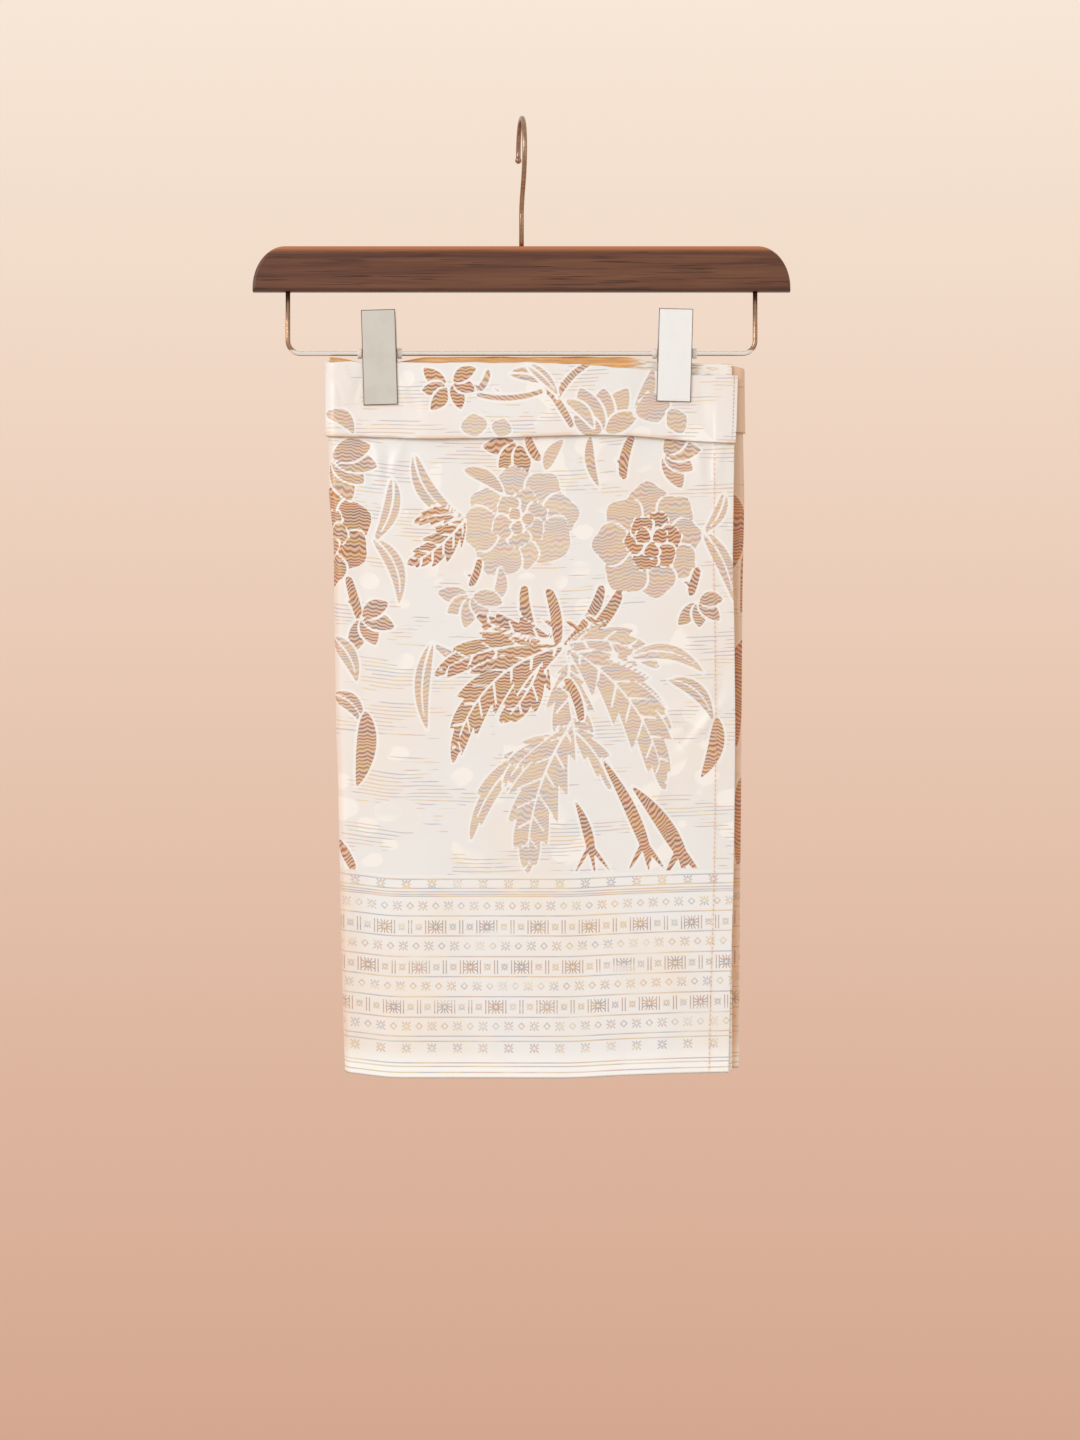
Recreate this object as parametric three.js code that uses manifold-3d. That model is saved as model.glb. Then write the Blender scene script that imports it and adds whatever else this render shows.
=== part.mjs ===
// A folded brocade sampin held by two clips on a wooden hanger.
// Millimetres. X runs to the right, the front faces -Y and Z is up.
// The origin is the underside of the hook's arc, where a rail bears.
import * as THREE from 'three';
import Module from 'manifold-3d';

const wasm = await Module();
wasm.setup();
const { Manifold, Mesh: SolidMesh } = wasm;
const { lerp, smoothstep, degToRad } = THREE.MathUtils;

// Cloth
const WALL = 1;
const GAP = 0.3;
const HALF = WALL / 2;
const CLEAR = HALF + GAP;
const STEP = WALL + GAP;
const HEM_WIDTH = 13;
const HEM_RADIUS = STEP / 2;
const HEM_BELOW_BAND = 0.9;
const LEFT_FOLD_REACH = 6;
const SEAM_X = -108;
const NOSE_REACH = 3.4;
const LIP_WIDTH = 9;
const LIP_DEPTH = 0.3;
const BAND_BACK_LEAF = 4;
const BAND_END_LEAF = 0.3;
const BAND_SEAT = 0.3;
const BAND_RISE = { from: 0.1, to: 1 };
const BAND_LIFT_HEIGHT = 26;
const REAR_BAND_FOOT = -209.3;
const REAR_FOOT = -634.9;

// Outer edge of the left fold
const LEFT_EDGE = [
  { z: -160, x: -130.2 },
  { z: -213, x: -130.0 },
  { z: -226, x: -129.3 },
  { z: -250, x: -129.5 },
  { z: -278, x: -126.2 },
  { z: -358, x: -125.2 },
  { z: -412, x: -124.4 },
  { z: -439, x: -123.2 },
  { z: -479, x: -122.4 },
  { z: -546, x: -121.0 },
  { z: -593, x: -120.0 },
  { z: -627, x: -118.8 },
  { z: -645, x: -118.2 },
];

// Free hemmed edge of the front
const FRONT_EDGE = [
  { z: -160, x: 142.6 },
  { z: -218, x: 142.4 },
  { z: -294, x: 141.3 },
  { z: -339, x: 142.4 },
  { z: -406, x: 143.0 },
  { z: -461, x: 142.5 },
  { z: -517, x: 141.7 },
  { z: -579, x: 139.7 },
  { z: -645, x: 138.3 },
];

// Outer edge of the right fold behind the front
const NOSE_EDGE = [
  { z: -160, x: 148.3 },
  { z: -212, x: 148.9 },
  { z: -254, x: 149.8 },
  { z: -313, x: 148.5 },
  { z: -425, x: 147.8 },
  { z: -501, x: 147.2 },
  { z: -593, x: 146.5 },
  { z: -645, x: 145.6 },
];

// Lower edge of the front
const FRONT_FOOT = [
  { x: -130, z: -636.8 },
  { x: -116, z: -637.5 },
  { x: -100, z: -639.6 },
  { x: -88, z: -641.1 },
  { x: 36, z: -641.2 },
  { x: 60, z: -639.8 },
  { x: 100, z: -638.2 },
  { x: 145, z: -637.1 },
];

// Top fold of the front waistband
const BAND_TOP = [
  { x: -132, z: -162.2 },
  { x: -120, z: -161.2 },
  { x: -105, z: -161.9 },
  { x: 20, z: -162.1 },
  { x: 53, z: -164.2 },
  { x: 86, z: -166.9 },
  { x: 113, z: -170.2 },
  { x: 146, z: -170.5 },
];

// Lower edge of the front waistband, and how far it stands off the cloth
const BAND_FOOT = [
  { x: -132, z: -212.3, lift: 0.1 },
  { x: -92, z: -212.9, lift: 0.5 },
  { x: -62, z: -214.2, lift: 0.9 },
  { x: -34, z: -213.7, lift: 0.6 },
  { x: 5, z: -212.7, lift: 0.7 },
  { x: 53, z: -211.2, lift: 0.9 },
  { x: 73, z: -211.9, lift: 0.8 },
  { x: 111, z: -215.2, lift: 0.5 },
  { x: 146, z: -217.3, lift: 0.3 },
];

// Free end of the front waistband
const BAND_END = [
  { z: -160, x: 145.0 },
  { z: -208, x: 143.7 },
  { z: -220, x: 142.7 },
];

// Top fold of the rear waistband, lower where a clip's spring bears on it
const REAR_TOP = [
  { x: -132, z: -158.6 },
  { x: -124, z: -157.5 },
  { x: -119, z: -158.0 },
  { x: -111, z: -161.4 },
  { x: -79, z: -161.4 },
  { x: -71, z: -158.0 },
  { x: -60, z: -157.5 },
  { x: 78, z: -157.5 },
  { x: 86, z: -161.4 },
  { x: 118, z: -162.8 },
  { x: 142, z: -163.0 },
  { x: 150, z: -166.0 },
];

// Half of the folded cloth's depth where nothing presses it
const LOOSE_DEPTH = [
  { z: -155, half: 5.7 },
  { z: -212, half: 5.7 },
  { z: -300, half: 5.9 },
  { z: -645, half: 6.4 },
];

// Soft ridges of the front and of the back
const FRONT_RIDGES = [
  { x: -88, z: -226, wide: 9, tall: 20, lean: 0, rise: 0.9 },
  { x: -112, z: -252, wide: 10, tall: 34, lean: 0, rise: 0.6 },
  { x: 124, z: -230, wide: 8, tall: 22, lean: 0, rise: 0.9 },
  { x: 119, z: -408, wide: 10, tall: 26, lean: -0.5, rise: 1.2 },
  { x: 84, z: -470, wide: 16, tall: 60, lean: 0.1, rise: 0.7 },
  { x: 20, z: -630, wide: 30, tall: 70, lean: 0, rise: 0.9 },
  { x: -72, z: -600, wide: 22, tall: 110, lean: 0, rise: 0.6 },
];
const REAR_RIDGES = [
  { x: -70, z: -236, wide: 12, tall: 34, lean: 0, rise: 0.9 },
  { x: 76, z: -240, wide: 12, tall: 34, lean: 0, rise: 0.9 },
  { x: -20, z: -470, wide: 26, tall: 120, lean: 0.1, rise: 0.9 },
  { x: 60, z: -610, wide: 24, tall: 90, lean: 0, rise: 1.0 },
];

// Columns and rows shared by the cloth's pieces
const COLUMNS = [
  -104, -95, -82, -73, -64, -56, -42, -28, -14, 0, 14,
  28, 42, 56, 66, 75, 84, 90, 102.6, 115, 121, 126,
];
const PLAIN_COLUMNS = [-42, -28, -14, 14, 28, 42];
const ROWS = [
  -178, -190, -203, -218, -232, -246, -262, -285, -320,
  -358, -385, -402, -418, -440, -475, -520, -565, -605,
];
const REAR_ROWS = [-178, -190, -203, -218, -232, -246, -262, -300, -358, -420, -475, -530, -580, -615];
const INNER_ROWS = [-203, -218, -232, -246, -262, -285, -358, -475, -580];

// Top folds of the first three hidden plies
const INNER_TOP = [
  { x: -132, z: -163.2 },
  { x: 20, z: -162.6 },
  { x: 53, z: -161.8 },
  { x: 86, z: -162.2 },
  { x: 142, z: -163.2 },
];

// Edges of the six hidden plies, from the front to the back
const PLIES = [
  { top: -0.6, foot: 1.6 },
  { top: 0, foot: 3.2 },
  { top: -0.4, foot: 2.2 },
  { top: -1.4, foot: 3.6 },
  { top: -0.9, foot: 2.4 },
  { top: -0.5, foot: 1.0 },
];
const PLY_EDGE = [[0.25, 0], [0.75, 0], [1, 1.1]];
const FRONT_PLIES = 3;
const INNER_END = 141.2;
const PLY_SLIT = 0.35;
const PLY_SLIT_DEPTH = 5;

// Hanger
const WIRE_RADIUS = 1.6;
const WIRE_SIDES = 10;
const BAR = {
  reach: 180, top: -84.5, foot: -114.6, thick: 12, fall: 20, round: 2,
};
const HOOK = {
  centre: -20, radius: 21.6, stemTop: -64, stemFoot: -100, yaw: 6, ball: 2.2, tip: -23,
};
const FRAME = { x: 156.6, low: -155.9, bend: 8.5, inBar: -104 };
const HOLE_CLEAR = 0.3;
const HOLE_DEPTH_SPARE = 1;
const HOLE_RUN_OUT = 5;
const HOLE_SIDES = 16;

// Clips
const CLIPS = [
  { side: 'left', x: -95.0, turn: 1.6, above: 28.5, below: 35.0 },
  { side: 'right', x: 102.6, turn: -1.55, above: 29.2, below: 32.9 },
];
const PLATE = {
  width: 22.8, thick: 1.2, bevel: 0.5, jaw: 5.6, jawZ: -190, spread: 0.038,
};
const EAR = { thick: 1, radius: 4.3, rise: 9, hole: 3.3 };
const SLEEVE = { bore: 1.9, tube: 2.7, collar: 3.6, collarWide: 2.8 };
const SPRING = { wire: 0.5, coil: 3.5, pitch: 1.35, turns: 4, leg: 15 };
const SPRING_STEPS = 10;
const SPRING_SIDES = 5;
const PINCH_FLAT = 13;
const PINCH_FADE = 21;
const PINCH_FOOT = -255;

const LOOK = {
  satin: { color: 0xe9e0d8, roughness: 0.5, metalness: 0 },
  band: { color: 0xe8e0d9, roughness: 0.5, metalness: 0 },
  shaded: { color: 0xd9b79b, roughness: 0.6, metalness: 0 },
  walnut: { color: 0x6f4735, roughness: 0.55, metalness: 0 },
  chrome: { color: 0xcfc6c0, roughness: 0.2, metalness: 1 },
  nickel: { color: 0xd3ccbf, roughness: 0.35, metalness: 1 },
  spring: { color: 0xb9b4ae, roughness: 0.35, metalness: 1 },
  plastic: { color: 0xf3efe9, roughness: 0.45, metalness: 0 },
};

// Reads a table at a place between its rows.
function read(table, key, column, at) {
  const rising = table[1][key] > table[0][key];
  const last = table.length - 2;
  let i = 0;
  while (i < last && (rising ? at > table[i + 1][key] : at < table[i + 1][key])) {
    i += 1;
  }
  const span = table[i + 1][key] - table[i][key];
  const t = THREE.MathUtils.clamp((at - table[i][key]) / span, 0, 1);
  return lerp(table[i][column], table[i + 1][column], t);
}

function ridges(table, x, z) {
  let rise = 0;
  for (const r of table) {
    const across = (x - r.x - r.lean * (z - r.z)) / r.wide;
    const down = (z - r.z) / r.tall;
    rise += r.rise * Math.exp(-across * across - down * down);
  }
  return rise;
}

// Distance from the clip's mid plane to a plate's inner face at height z.
function jawAt(z) {
  return PLATE.jaw + Math.max(0, z - PLATE.jawZ) * PLATE.spread;
}

// Half of the depth between the middles of the front and rear walls, pressed in under the clips.
function halfDepth(x, z) {
  const loose = read(LOOSE_DEPTH, 'z', 'half', z);
  const pressed = jawAt(z) - GAP - HALF - STEP;
  const fade = smoothstep(z, PINCH_FOOT, PLATE.jawZ);
  let grip = 0;
  for (const clip of CLIPS) {
    const away = Math.abs(x - clip.x) - PINCH_FLAT;
    grip = Math.max(grip, 1 - smoothstep(away, 0, PINCH_FADE));
  }
  return lerp(loose, pressed, grip * fade);
}

function frontDepth(x, z) {
  return -halfDepth(x, z) - ridges(FRONT_RIDGES, x, z);
}

function rearDepth(x, z) {
  return halfDepth(x, z) + ridges(REAR_RIDGES, x, z);
}

const leftFoldX = (z) => read(LEFT_EDGE, 'z', 'x', z) + HALF + LEFT_FOLD_REACH;
const noseX = (z) => read(NOSE_EDGE, 'z', 'x', z) - HALF - NOSE_REACH;

// Line of the front stretch in plan, from its right end round the left fold to the seam behind.
// Each stop gives a point for a height and for a growth away from the cloth's middle.
function frontStops(hemmed) {
  const stops = [];
  const front = (xAt, inset) => (z, grow) => {
    const x = xAt(z);
    return [x, frontDepth(x, z) - grow + inset];
  };
  if (hemmed) {
    const hemX = (z) => read(FRONT_EDGE, 'z', 'x', z) - HALF - HEM_RADIUS;
    for (const part of [1, 0.5, 0]) {
      stops.push({ hem: true, at: front((z) => hemX(z) - HEM_WIDTH * part, STEP) });
    }
    for (const angle of [45, 90, 135]) {
      const turn = degToRad(angle);
      stops.push({
        hem: angle < 90,
        at: (z) => {
          const x = hemX(z);
          const y = frontDepth(x, z) + HEM_RADIUS * (1 + Math.cos(turn));
          return [x + HEM_RADIUS * Math.sin(turn), y];
        },
      });
    }
    stops.push({ at: front(hemX, 0) });
    stops.push({ at: front((z) => hemX(z) - HEM_WIDTH / 2, 0) });
  } else {
    for (const part of [0, 0.15, 0.5]) {
      const last = COLUMNS[COLUMNS.length - 1];
      stops.push({ at: front((z) => lerp(read(BAND_END, 'z', 'x', z), last, part), 0) });
    }
  }
  for (const x of [...COLUMNS].reverse()) {
    stops.push({ at: front(() => x, 0) });
  }
  for (const part of [2 / 3, 1 / 3]) {
    stops.push({ at: front((z) => lerp(leftFoldX(z), COLUMNS[0], part), 0) });
  }
  for (const angle of [0, 22.5, 45, 67.5, 90, 112.5, 135, 157.5, 180]) {
    const turn = degToRad(angle);
    stops.push({
      round: angle / 180,
      at: (z, grow) => {
        const x = leftFoldX(z);
        const near = frontDepth(x, z);
        const far = rearDepth(x, z);
        const middle = (near + far) / 2;
        const reach = (far - near) / 2 + grow;
        return [x - (LEFT_FOLD_REACH + grow) * Math.sin(turn), middle - reach * Math.cos(turn)];
      },
    });
  }
  stops.push({
    round: 1,
    at: (z, grow) => [SEAM_X, rearDepth(SEAM_X, z) + grow],
  });
  return stops;
}

// Line of the rear stretch, from the seam along the back, round the right fold to its hidden lip.
function rearStops() {
  const stops = [];
  const rear = (xAt) => (z, grow) => {
    const x = xAt(z);
    return [x, rearDepth(x, z) + grow];
  };
  stops.push({ at: rear(() => SEAM_X + GAP) });
  for (const x of COLUMNS.slice(1)) {
    stops.push({ at: rear(() => x) });
  }
  stops.push({ at: rear((z) => lerp(COLUMNS[COLUMNS.length - 1], noseX(z), 0.5)) });
  for (const angle of [0, 30, 60, 90, 120, 150, 180]) {
    const turn = degToRad(angle);
    stops.push({
      at: (z, grow) => {
        const x = noseX(z);
        const far = rearDepth(x, z);
        const middle = (far + LIP_DEPTH) / 2;
        const reach = (far - LIP_DEPTH) / 2 + grow;
        return [x + (NOSE_REACH + grow) * Math.sin(turn), middle + reach * Math.cos(turn)];
      },
    });
  }
  for (const part of [0.5, 1]) {
    stops.push({ lip: true, at: (z, grow) => [noseX(z) - LIP_WIDTH * part, LIP_DEPTH - grow] });
  }
  return stops;
}

// How far a stop has come from the front to the back, round the left fold.
function aroundFold(stop) {
  return smoothstep(stop.round ?? 0, BAND_RISE.from, BAND_RISE.to);
}

// Height of the centre of the waistband's top fold at a stop, which the cloth's own edge reaches.
function frontTop(stop, x) {
  const front = read(BAND_TOP, 'x', 'z', x);
  const rear = read(REAR_TOP, 'x', 'z', x);
  return lerp(front, rear, aroundFold(stop)) - STEP - HALF;
}

function frontFoot(stop, x) {
  return lerp(read(FRONT_FOOT, 'x', 'z', x), REAR_FOOT, aroundFold(stop));
}

function rearTop(stop, x) {
  return read(REAR_TOP, 'x', 'z', x) - STEP - HALF;
}

// Points of a stretch of the body cloth, one row for each height.
function stretchGrid(stops, rows, topAt, footAt) {
  const grid = [];
  const heights = ['top', ...rows, 'foot'];
  for (const height of heights) {
    grid.push(stops.map((stop) => {
      const near = height === 'foot' ? rows[rows.length - 1] : rows[0];
      const x = stop.at(near, 0)[0];
      let z = height;
      if (height === 'top') {
        z = topAt(stop, x) - (stop.hem ? HEM_BELOW_BAND : BAND_SEAT);
      } else if (height === 'foot') {
        z = footAt(stop, x);
      }
      return [...stop.at(z, 0), z];
    }));
  }
  return grid;
}

// Points of a waistband: its outer leaf upwards, over the cloth's top edge and down behind it.
function bandGrid(stops, topAt, footAt, liftAt, leafAt) {
  const places = stops.map((stop) => {
    const x = stop.at(ROWS[0], 0)[0];
    return { stop, x, top: topAt(stop, x), foot: footAt(stop, x), lift: liftAt(stop, x) };
  });
  const grid = [];
  for (const part of [0, 0.12, 0.3, 0.5, 0.75, 1]) {
    grid.push(places.map(({ stop, top, foot, lift }) => {
      const z = lerp(foot, top, part);
      const off = lift * (1 - smoothstep(z - foot, 0, BAND_LIFT_HEIGHT));
      return [...stop.at(z, STEP + off), z];
    }));
  }
  for (const angle of [36, 72, 108, 144, 180]) {
    const turn = degToRad(angle);
    grid.push(places.map(({ stop, top }) => {
      const z = top + STEP * Math.sin(turn);
      return [...stop.at(z, STEP * Math.cos(turn)), z];
    }));
  }
  grid.push(places.map(({ stop, x, top }) => {
    const z = top - leafAt(x);
    return [...stop.at(z, -STEP), z];
  }));
  return grid;
}

// Triangles of a closed strip of quads between rows of a grid.
function gridFaces(rows, columns, at, faces, closed) {
  const across = closed ? columns : columns - 1;
  for (let r = 0; r < rows - 1; r += 1) {
    for (let c = 0; c < across; c += 1) {
      const next = (c + 1) % columns;
      faces.push(at(r, c), at(r + 1, c), at(r + 1, next));
      faces.push(at(r, c), at(r + 1, next), at(r, next));
    }
  }
}

// A wall of the given thickness about a grid of points, closed round its rim.
function wall(grid, thick) {
  const rows = grid.length;
  const columns = grid[0].length;
  const point = (r, c) => new THREE.Vector3(...grid[r][c]);
  const positions = [];
  for (const side of [1, -1]) {
    for (let r = 0; r < rows; r += 1) {
      for (let c = 0; c < columns; c += 1) {
        const down = point(Math.min(r + 1, rows - 1), c).sub(point(Math.max(r - 1, 0), c));
        const right = point(r, Math.min(c + 1, columns - 1)).sub(point(r, Math.max(c - 1, 0)));
        const normal = down.cross(right).normalize();
        positions.push(...point(r, c).addScaledVector(normal, side * thick / 2).toArray());
      }
    }
  }
  const size = rows * columns;
  const faces = [];
  gridFaces(rows, columns, (r, c) => r * columns + c, faces, false);
  const back = [];
  gridFaces(rows, columns, (r, c) => size + r * columns + c, back, false);
  for (let i = 0; i < back.length; i += 3) {
    faces.push(back[i], back[i + 2], back[i + 1]);
  }
  const rim = [];
  for (let c = 0; c < columns; c += 1) {
    rim.push(c);
  }
  for (let r = 1; r < rows; r += 1) {
    rim.push(r * columns + columns - 1);
  }
  for (let c = columns - 2; c >= 0; c -= 1) {
    rim.push((rows - 1) * columns + c);
  }
  for (let r = rows - 2; r > 0; r -= 1) {
    rim.push(r * columns);
  }
  rim.forEach((a, i) => {
    const b = rim[(i + 1) % rim.length];
    faces.push(a, b, b + size);
    faces.push(a, b + size, a + size);
  });
  return solid(positions, faces);
}

// A closed geometry whose faces look outwards.
function solid(positions, faces) {
  const geometry = new THREE.BufferGeometry();
  geometry.setAttribute('position', new THREE.Float32BufferAttribute(positions, 3));
  const a = new THREE.Vector3();
  const b = new THREE.Vector3();
  const c = new THREE.Vector3();
  let volume = 0;
  for (let i = 0; i < faces.length; i += 3) {
    a.fromArray(positions, faces[i] * 3);
    b.fromArray(positions, faces[i + 1] * 3);
    c.fromArray(positions, faces[i + 2] * 3);
    volume += a.dot(b.cross(c));
  }
  const ordered = volume > 0 ? faces : [...faces].reverse();
  geometry.setIndex(ordered);
  return geometry;
}

// A solid through closed rings of equal length, its ends closed from one side of the ring to the other.
function loft(rings) {
  const columns = rings[0].length;
  const positions = rings.flat(2);
  const faces = [];
  gridFaces(rings.length, columns, (r, c) => r * columns + c, faces, true);
  for (const start of [0, (rings.length - 1) * columns]) {
    for (let near = 0, far = columns - 1; far - near > 1; near += 1, far -= 1) {
      const corners = [[near, near + 1, far]];
      if (far - near > 2) {
        corners.push([near + 1, far - 1, far]);
      }
      for (const [a, b, c] of corners) {
        faces.push(...(start ? [start + a, start + c, start + b] : [a, b, c]));
      }
    }
  }
  return solid(positions, faces);
}

// A round bar along a line of points, with flat ends.
function rod(points, radius, sides) {
  const rings = [];
  let across = new THREE.Vector3(1, 0, 0);
  points.forEach((p, i) => {
    const before = points[Math.max(i - 1, 0)];
    const after = points[Math.min(i + 1, points.length - 1)];
    const along = after.clone().sub(before).normalize();
    if (i === 0 && Math.abs(along.x) > 0.9) {
      across = new THREE.Vector3(0, 1, 0);
    }
    across = across.clone().addScaledVector(along, -across.dot(along)).normalize();
    const other = along.clone().cross(across);
    const ring = [];
    for (let s = 0; s < sides; s += 1) {
      const turn = (s / sides) * Math.PI * 2;
      const spot = p.clone().addScaledVector(across, radius * Math.cos(turn));
      ring.push(spot.addScaledVector(other, radius * Math.sin(turn)).toArray());
    }
    rings.push(ring);
  });
  return loft(rings);
}

function toSolid(geometry) {
  const position = geometry.getAttribute('position');
  const index = geometry.getIndex();
  const corners = index ? index.array : Array.from({ length: position.count }, (_, i) => i);
  const mesh = new SolidMesh({
    numProp: 3,
    vertProperties: new Float32Array(position.array),
    triVerts: new Uint32Array(corners),
  });
  mesh.merge();
  return new Manifold(mesh);
}

function toGeometry(shape) {
  const mesh = shape.getMesh();
  const geometry = new THREE.BufferGeometry();
  geometry.setAttribute('position', new THREE.BufferAttribute(mesh.vertProperties, 3));
  geometry.setIndex(new THREE.BufferAttribute(mesh.triVerts, 1));
  return geometry;
}

// One ring round the hidden plies at a station: up the front, over the plies, down the back, under them.
function innerRing(station) {
  const ring = [];
  const low = (x) => read(FRONT_FOOT, 'x', 'z', x);
  const bandInset = CLEAR + STEP;
  const spot = (z, part, inset) => {
    const x = station.x(z, inset);
    const near = -halfDepth(x, z) + Math.max(inset, station.hem ? bandInset : 0);
    const far = halfDepth(x, z) - inset;
    const middle = (near + far) / 2;
    return [x, lerp(middle, lerp(near, far, part), station.open), z];
  };
  const bandTop = read(BAND_TOP, 'x', 'z', station.x(ROWS[0], CLEAR));
  const shoulder = bandTop - STEP - HALF - BAND_BACK_LEAF - GAP;
  const below = shoulder - GAP;
  const rows = [...INNER_ROWS].reverse();
  for (const z of rows) {
    ring.push(spot(z, 0, CLEAR));
  }
  ring.push(spot(-190, 0, CLEAR));
  ring.push(spot(below, 0, CLEAR));
  ring.push(spot(shoulder, 0, bandInset));
  PLIES.forEach((ply, i) => {
    const x = station.x(ROWS[0], CLEAR);
    const top = read(i < FRONT_PLIES ? INNER_TOP : REAR_TOP, 'x', 'z', x) + ply.top;
    for (const [part, dip] of PLY_EDGE) {
      if (i < PLIES.length - 1 || part < 1) {
        ring.push(spot(top - dip, (i + part) / PLIES.length, bandInset));
      }
    }
  });
  ring.push(spot(shoulder, 1, bandInset));
  ring.push(spot(below, 1, CLEAR));
  ring.push(spot(-190, 1, CLEAR));
  for (const z of INNER_ROWS) {
    ring.push(spot(z, 1, CLEAR));
  }
  [...PLIES].reverse().forEach((ply, k) => {
    const i = PLIES.length - 1 - k;
    const z = low(station.x(ROWS[ROWS.length - 1], CLEAR)) + ply.foot;
    for (const [part, dip] of PLY_EDGE) {
      ring.push(spot(z + dip, (i + 1 - part) / PLIES.length, CLEAR));
    }
  });
  const halfFoot = (PLIES.length * PLY_EDGE.length) / 2;
  return [...ring.slice(-halfFoot), ...ring.slice(0, -halfFoot)];
}

// The plies that the front and back hide, as one solid, layered at its top, foot and right side.
function innerLayers() {
  const stations = [];
  for (const angle of [6, 30, 60, 90]) {
    const turn = degToRad(angle);
    stations.push({
      x: (z, inset) => leftFoldX(z) - (LEFT_FOLD_REACH - inset) * Math.cos(turn),
      open: Math.sin(turn),
    });
  }
  for (const part of [1 / 3, 2 / 3]) {
    stations.push({ x: (z) => lerp(leftFoldX(z), COLUMNS[0], part), open: 1 });
  }
  for (const x of COLUMNS.filter((c) => !PLAIN_COLUMNS.includes(c))) {
    stations.push({ x: () => x, open: 1 });
  }
  const hemStart = (z) => read(FRONT_EDGE, 'z', 'x', z) - HEM_WIDTH - STEP;
  stations.pop();
  stations.push({ x: (z) => hemStart(z) - STEP * 2, open: 1 });
  stations.push({ x: (z) => hemStart(z) - STEP, open: 1, hem: true });
  stations.push({ x: (z) => lerp(hemStart(z), INNER_END, 0.5), open: 1, hem: true });
  const behindEdge = INNER_END - FRONT_EDGE[0].x;
  stations.push({ x: (z) => read(FRONT_EDGE, 'z', 'x', z) + behindEdge, open: 1, hem: true });
  let shape = toSolid(loft(stations.map(innerRing)));
  for (const cutter of lipCutters()) {
    shape = shape.subtract(toSolid(cutter));
  }
  return toGeometry(shape);
}

// Room for the rear stretch's lip and its waistband, and slits between the plies at the right.
function lipCutters() {
  const room = WALL + 2 * GAP;
  const heights = [ROWS[0] + 40, ...REAR_ROWS, REAR_FOOT - 20];
  const line = (z, grow) => [0, 0.5, 1].map((part) => {
    const reach = lerp(LIP_WIDTH + CLEAR, -NOSE_REACH, part);
    return [noseX(z) - reach, LIP_DEPTH - grow, z];
  });
  const bandHeights = [ROWS[0] + 40, ROWS[1], REAR_BAND_FOOT - GAP];
  const leafHeights = [ROWS[0] + 40, rearTop({}, INNER_END) - BAND_BACK_LEAF - GAP];
  const cutters = [
    wall(heights.map((z) => line(z, 0)), room),
    wall(bandHeights.map((z) => line(z, STEP)), room),
    wall(leafHeights.map((z) => line(z, -STEP)), room),
  ];
  for (const part of [1 / 3, 2 / 3]) {
    const slit = heights.map((z) => [0, 1].map((end) => {
      const x = lerp(INNER_END - PLY_SLIT_DEPTH, INNER_END + PLY_SLIT_DEPTH, end);
      const near = -halfDepth(INNER_END, z) + CLEAR + STEP;
      return [x, lerp(near, LIP_DEPTH - CLEAR - STEP, part), z];
    }));
    cutters.push(wall(slit, PLY_SLIT));
  }
  return cutters;
}

// The wooden bar: straight below, its ends falling in a quarter ellipse, edges rounded over.
function bar() {
  const { reach, top, foot, thick, fall, round } = BAR;
  const shape = new THREE.Shape();
  const right = reach - round;
  const high = top - round;
  const low = foot + round;
  shape.moveTo(-right, low);
  shape.lineTo(right, low);
  shape.absellipse(right - fall, low, fall, high - low, 0, Math.PI / 2, false, 0);
  shape.absellipse(fall - right, low, fall, high - low, Math.PI / 2, Math.PI, false, 0);
  const geometry = new THREE.ExtrudeGeometry(shape, {
    depth: thick - 2 * round,
    bevelThickness: round,
    bevelSize: round,
    bevelSegments: 2,
    curveSegments: 12,
  });
  geometry.rotateX(Math.PI / 2);
  geometry.translate(0, thick / 2 - round, 0);
  let wood = toSolid(geometry);
  const radius = WIRE_RADIUS + HOLE_CLEAR;
  const deep = HOOK.stemFoot - HOLE_DEPTH_SPARE;
  const hookHole = Manifold.cylinder(top + HOLE_RUN_OUT - deep, radius, radius, HOLE_SIDES);
  wood = wood.subtract(hookHole.translate([0, 0, deep]));
  for (const side of [-1, 1]) {
    const tall = FRAME.inBar + HOLE_DEPTH_SPARE - foot + HOLE_RUN_OUT;
    const hole = Manifold.cylinder(tall, radius, radius, HOLE_SIDES);
    wood = wood.subtract(hole.translate([side * FRAME.x, 0, foot - HOLE_RUN_OUT]));
  }
  return toGeometry(wood);
}

// The hook: up from the bar, forward round the rail, over it and down behind to a small ball.
function hook() {
  const { centre, radius, stemTop, stemFoot, yaw, ball, tip } = HOOK;
  const points = [new THREE.Vector3(0, 0, stemFoot)];
  const bend = new THREE.CubicBezierCurve3(
    new THREE.Vector3(0, 0, stemTop),
    new THREE.Vector3(0, 0, stemTop + 16),
    new THREE.Vector3(0, -radius, centre - 24),
    new THREE.Vector3(0, -radius, centre),
  );
  points.push(...bend.getPoints(12).slice(0, -1));
  for (let angle = 0; angle <= 180; angle += 12) {
    const turn = degToRad(angle);
    points.push(new THREE.Vector3(0, -radius * Math.cos(turn), centre + radius * Math.sin(turn)));
  }
  points.push(new THREE.Vector3(0, radius, tip));
  const wire = toSolid(rod(points, WIRE_RADIUS, WIRE_SIDES));
  const end = Manifold.sphere(ball, 16).translate([0, radius, tip]);
  const geometry = toGeometry(wire.add(end));
  geometry.rotateZ(degToRad(yaw));
  return geometry;
}

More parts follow.
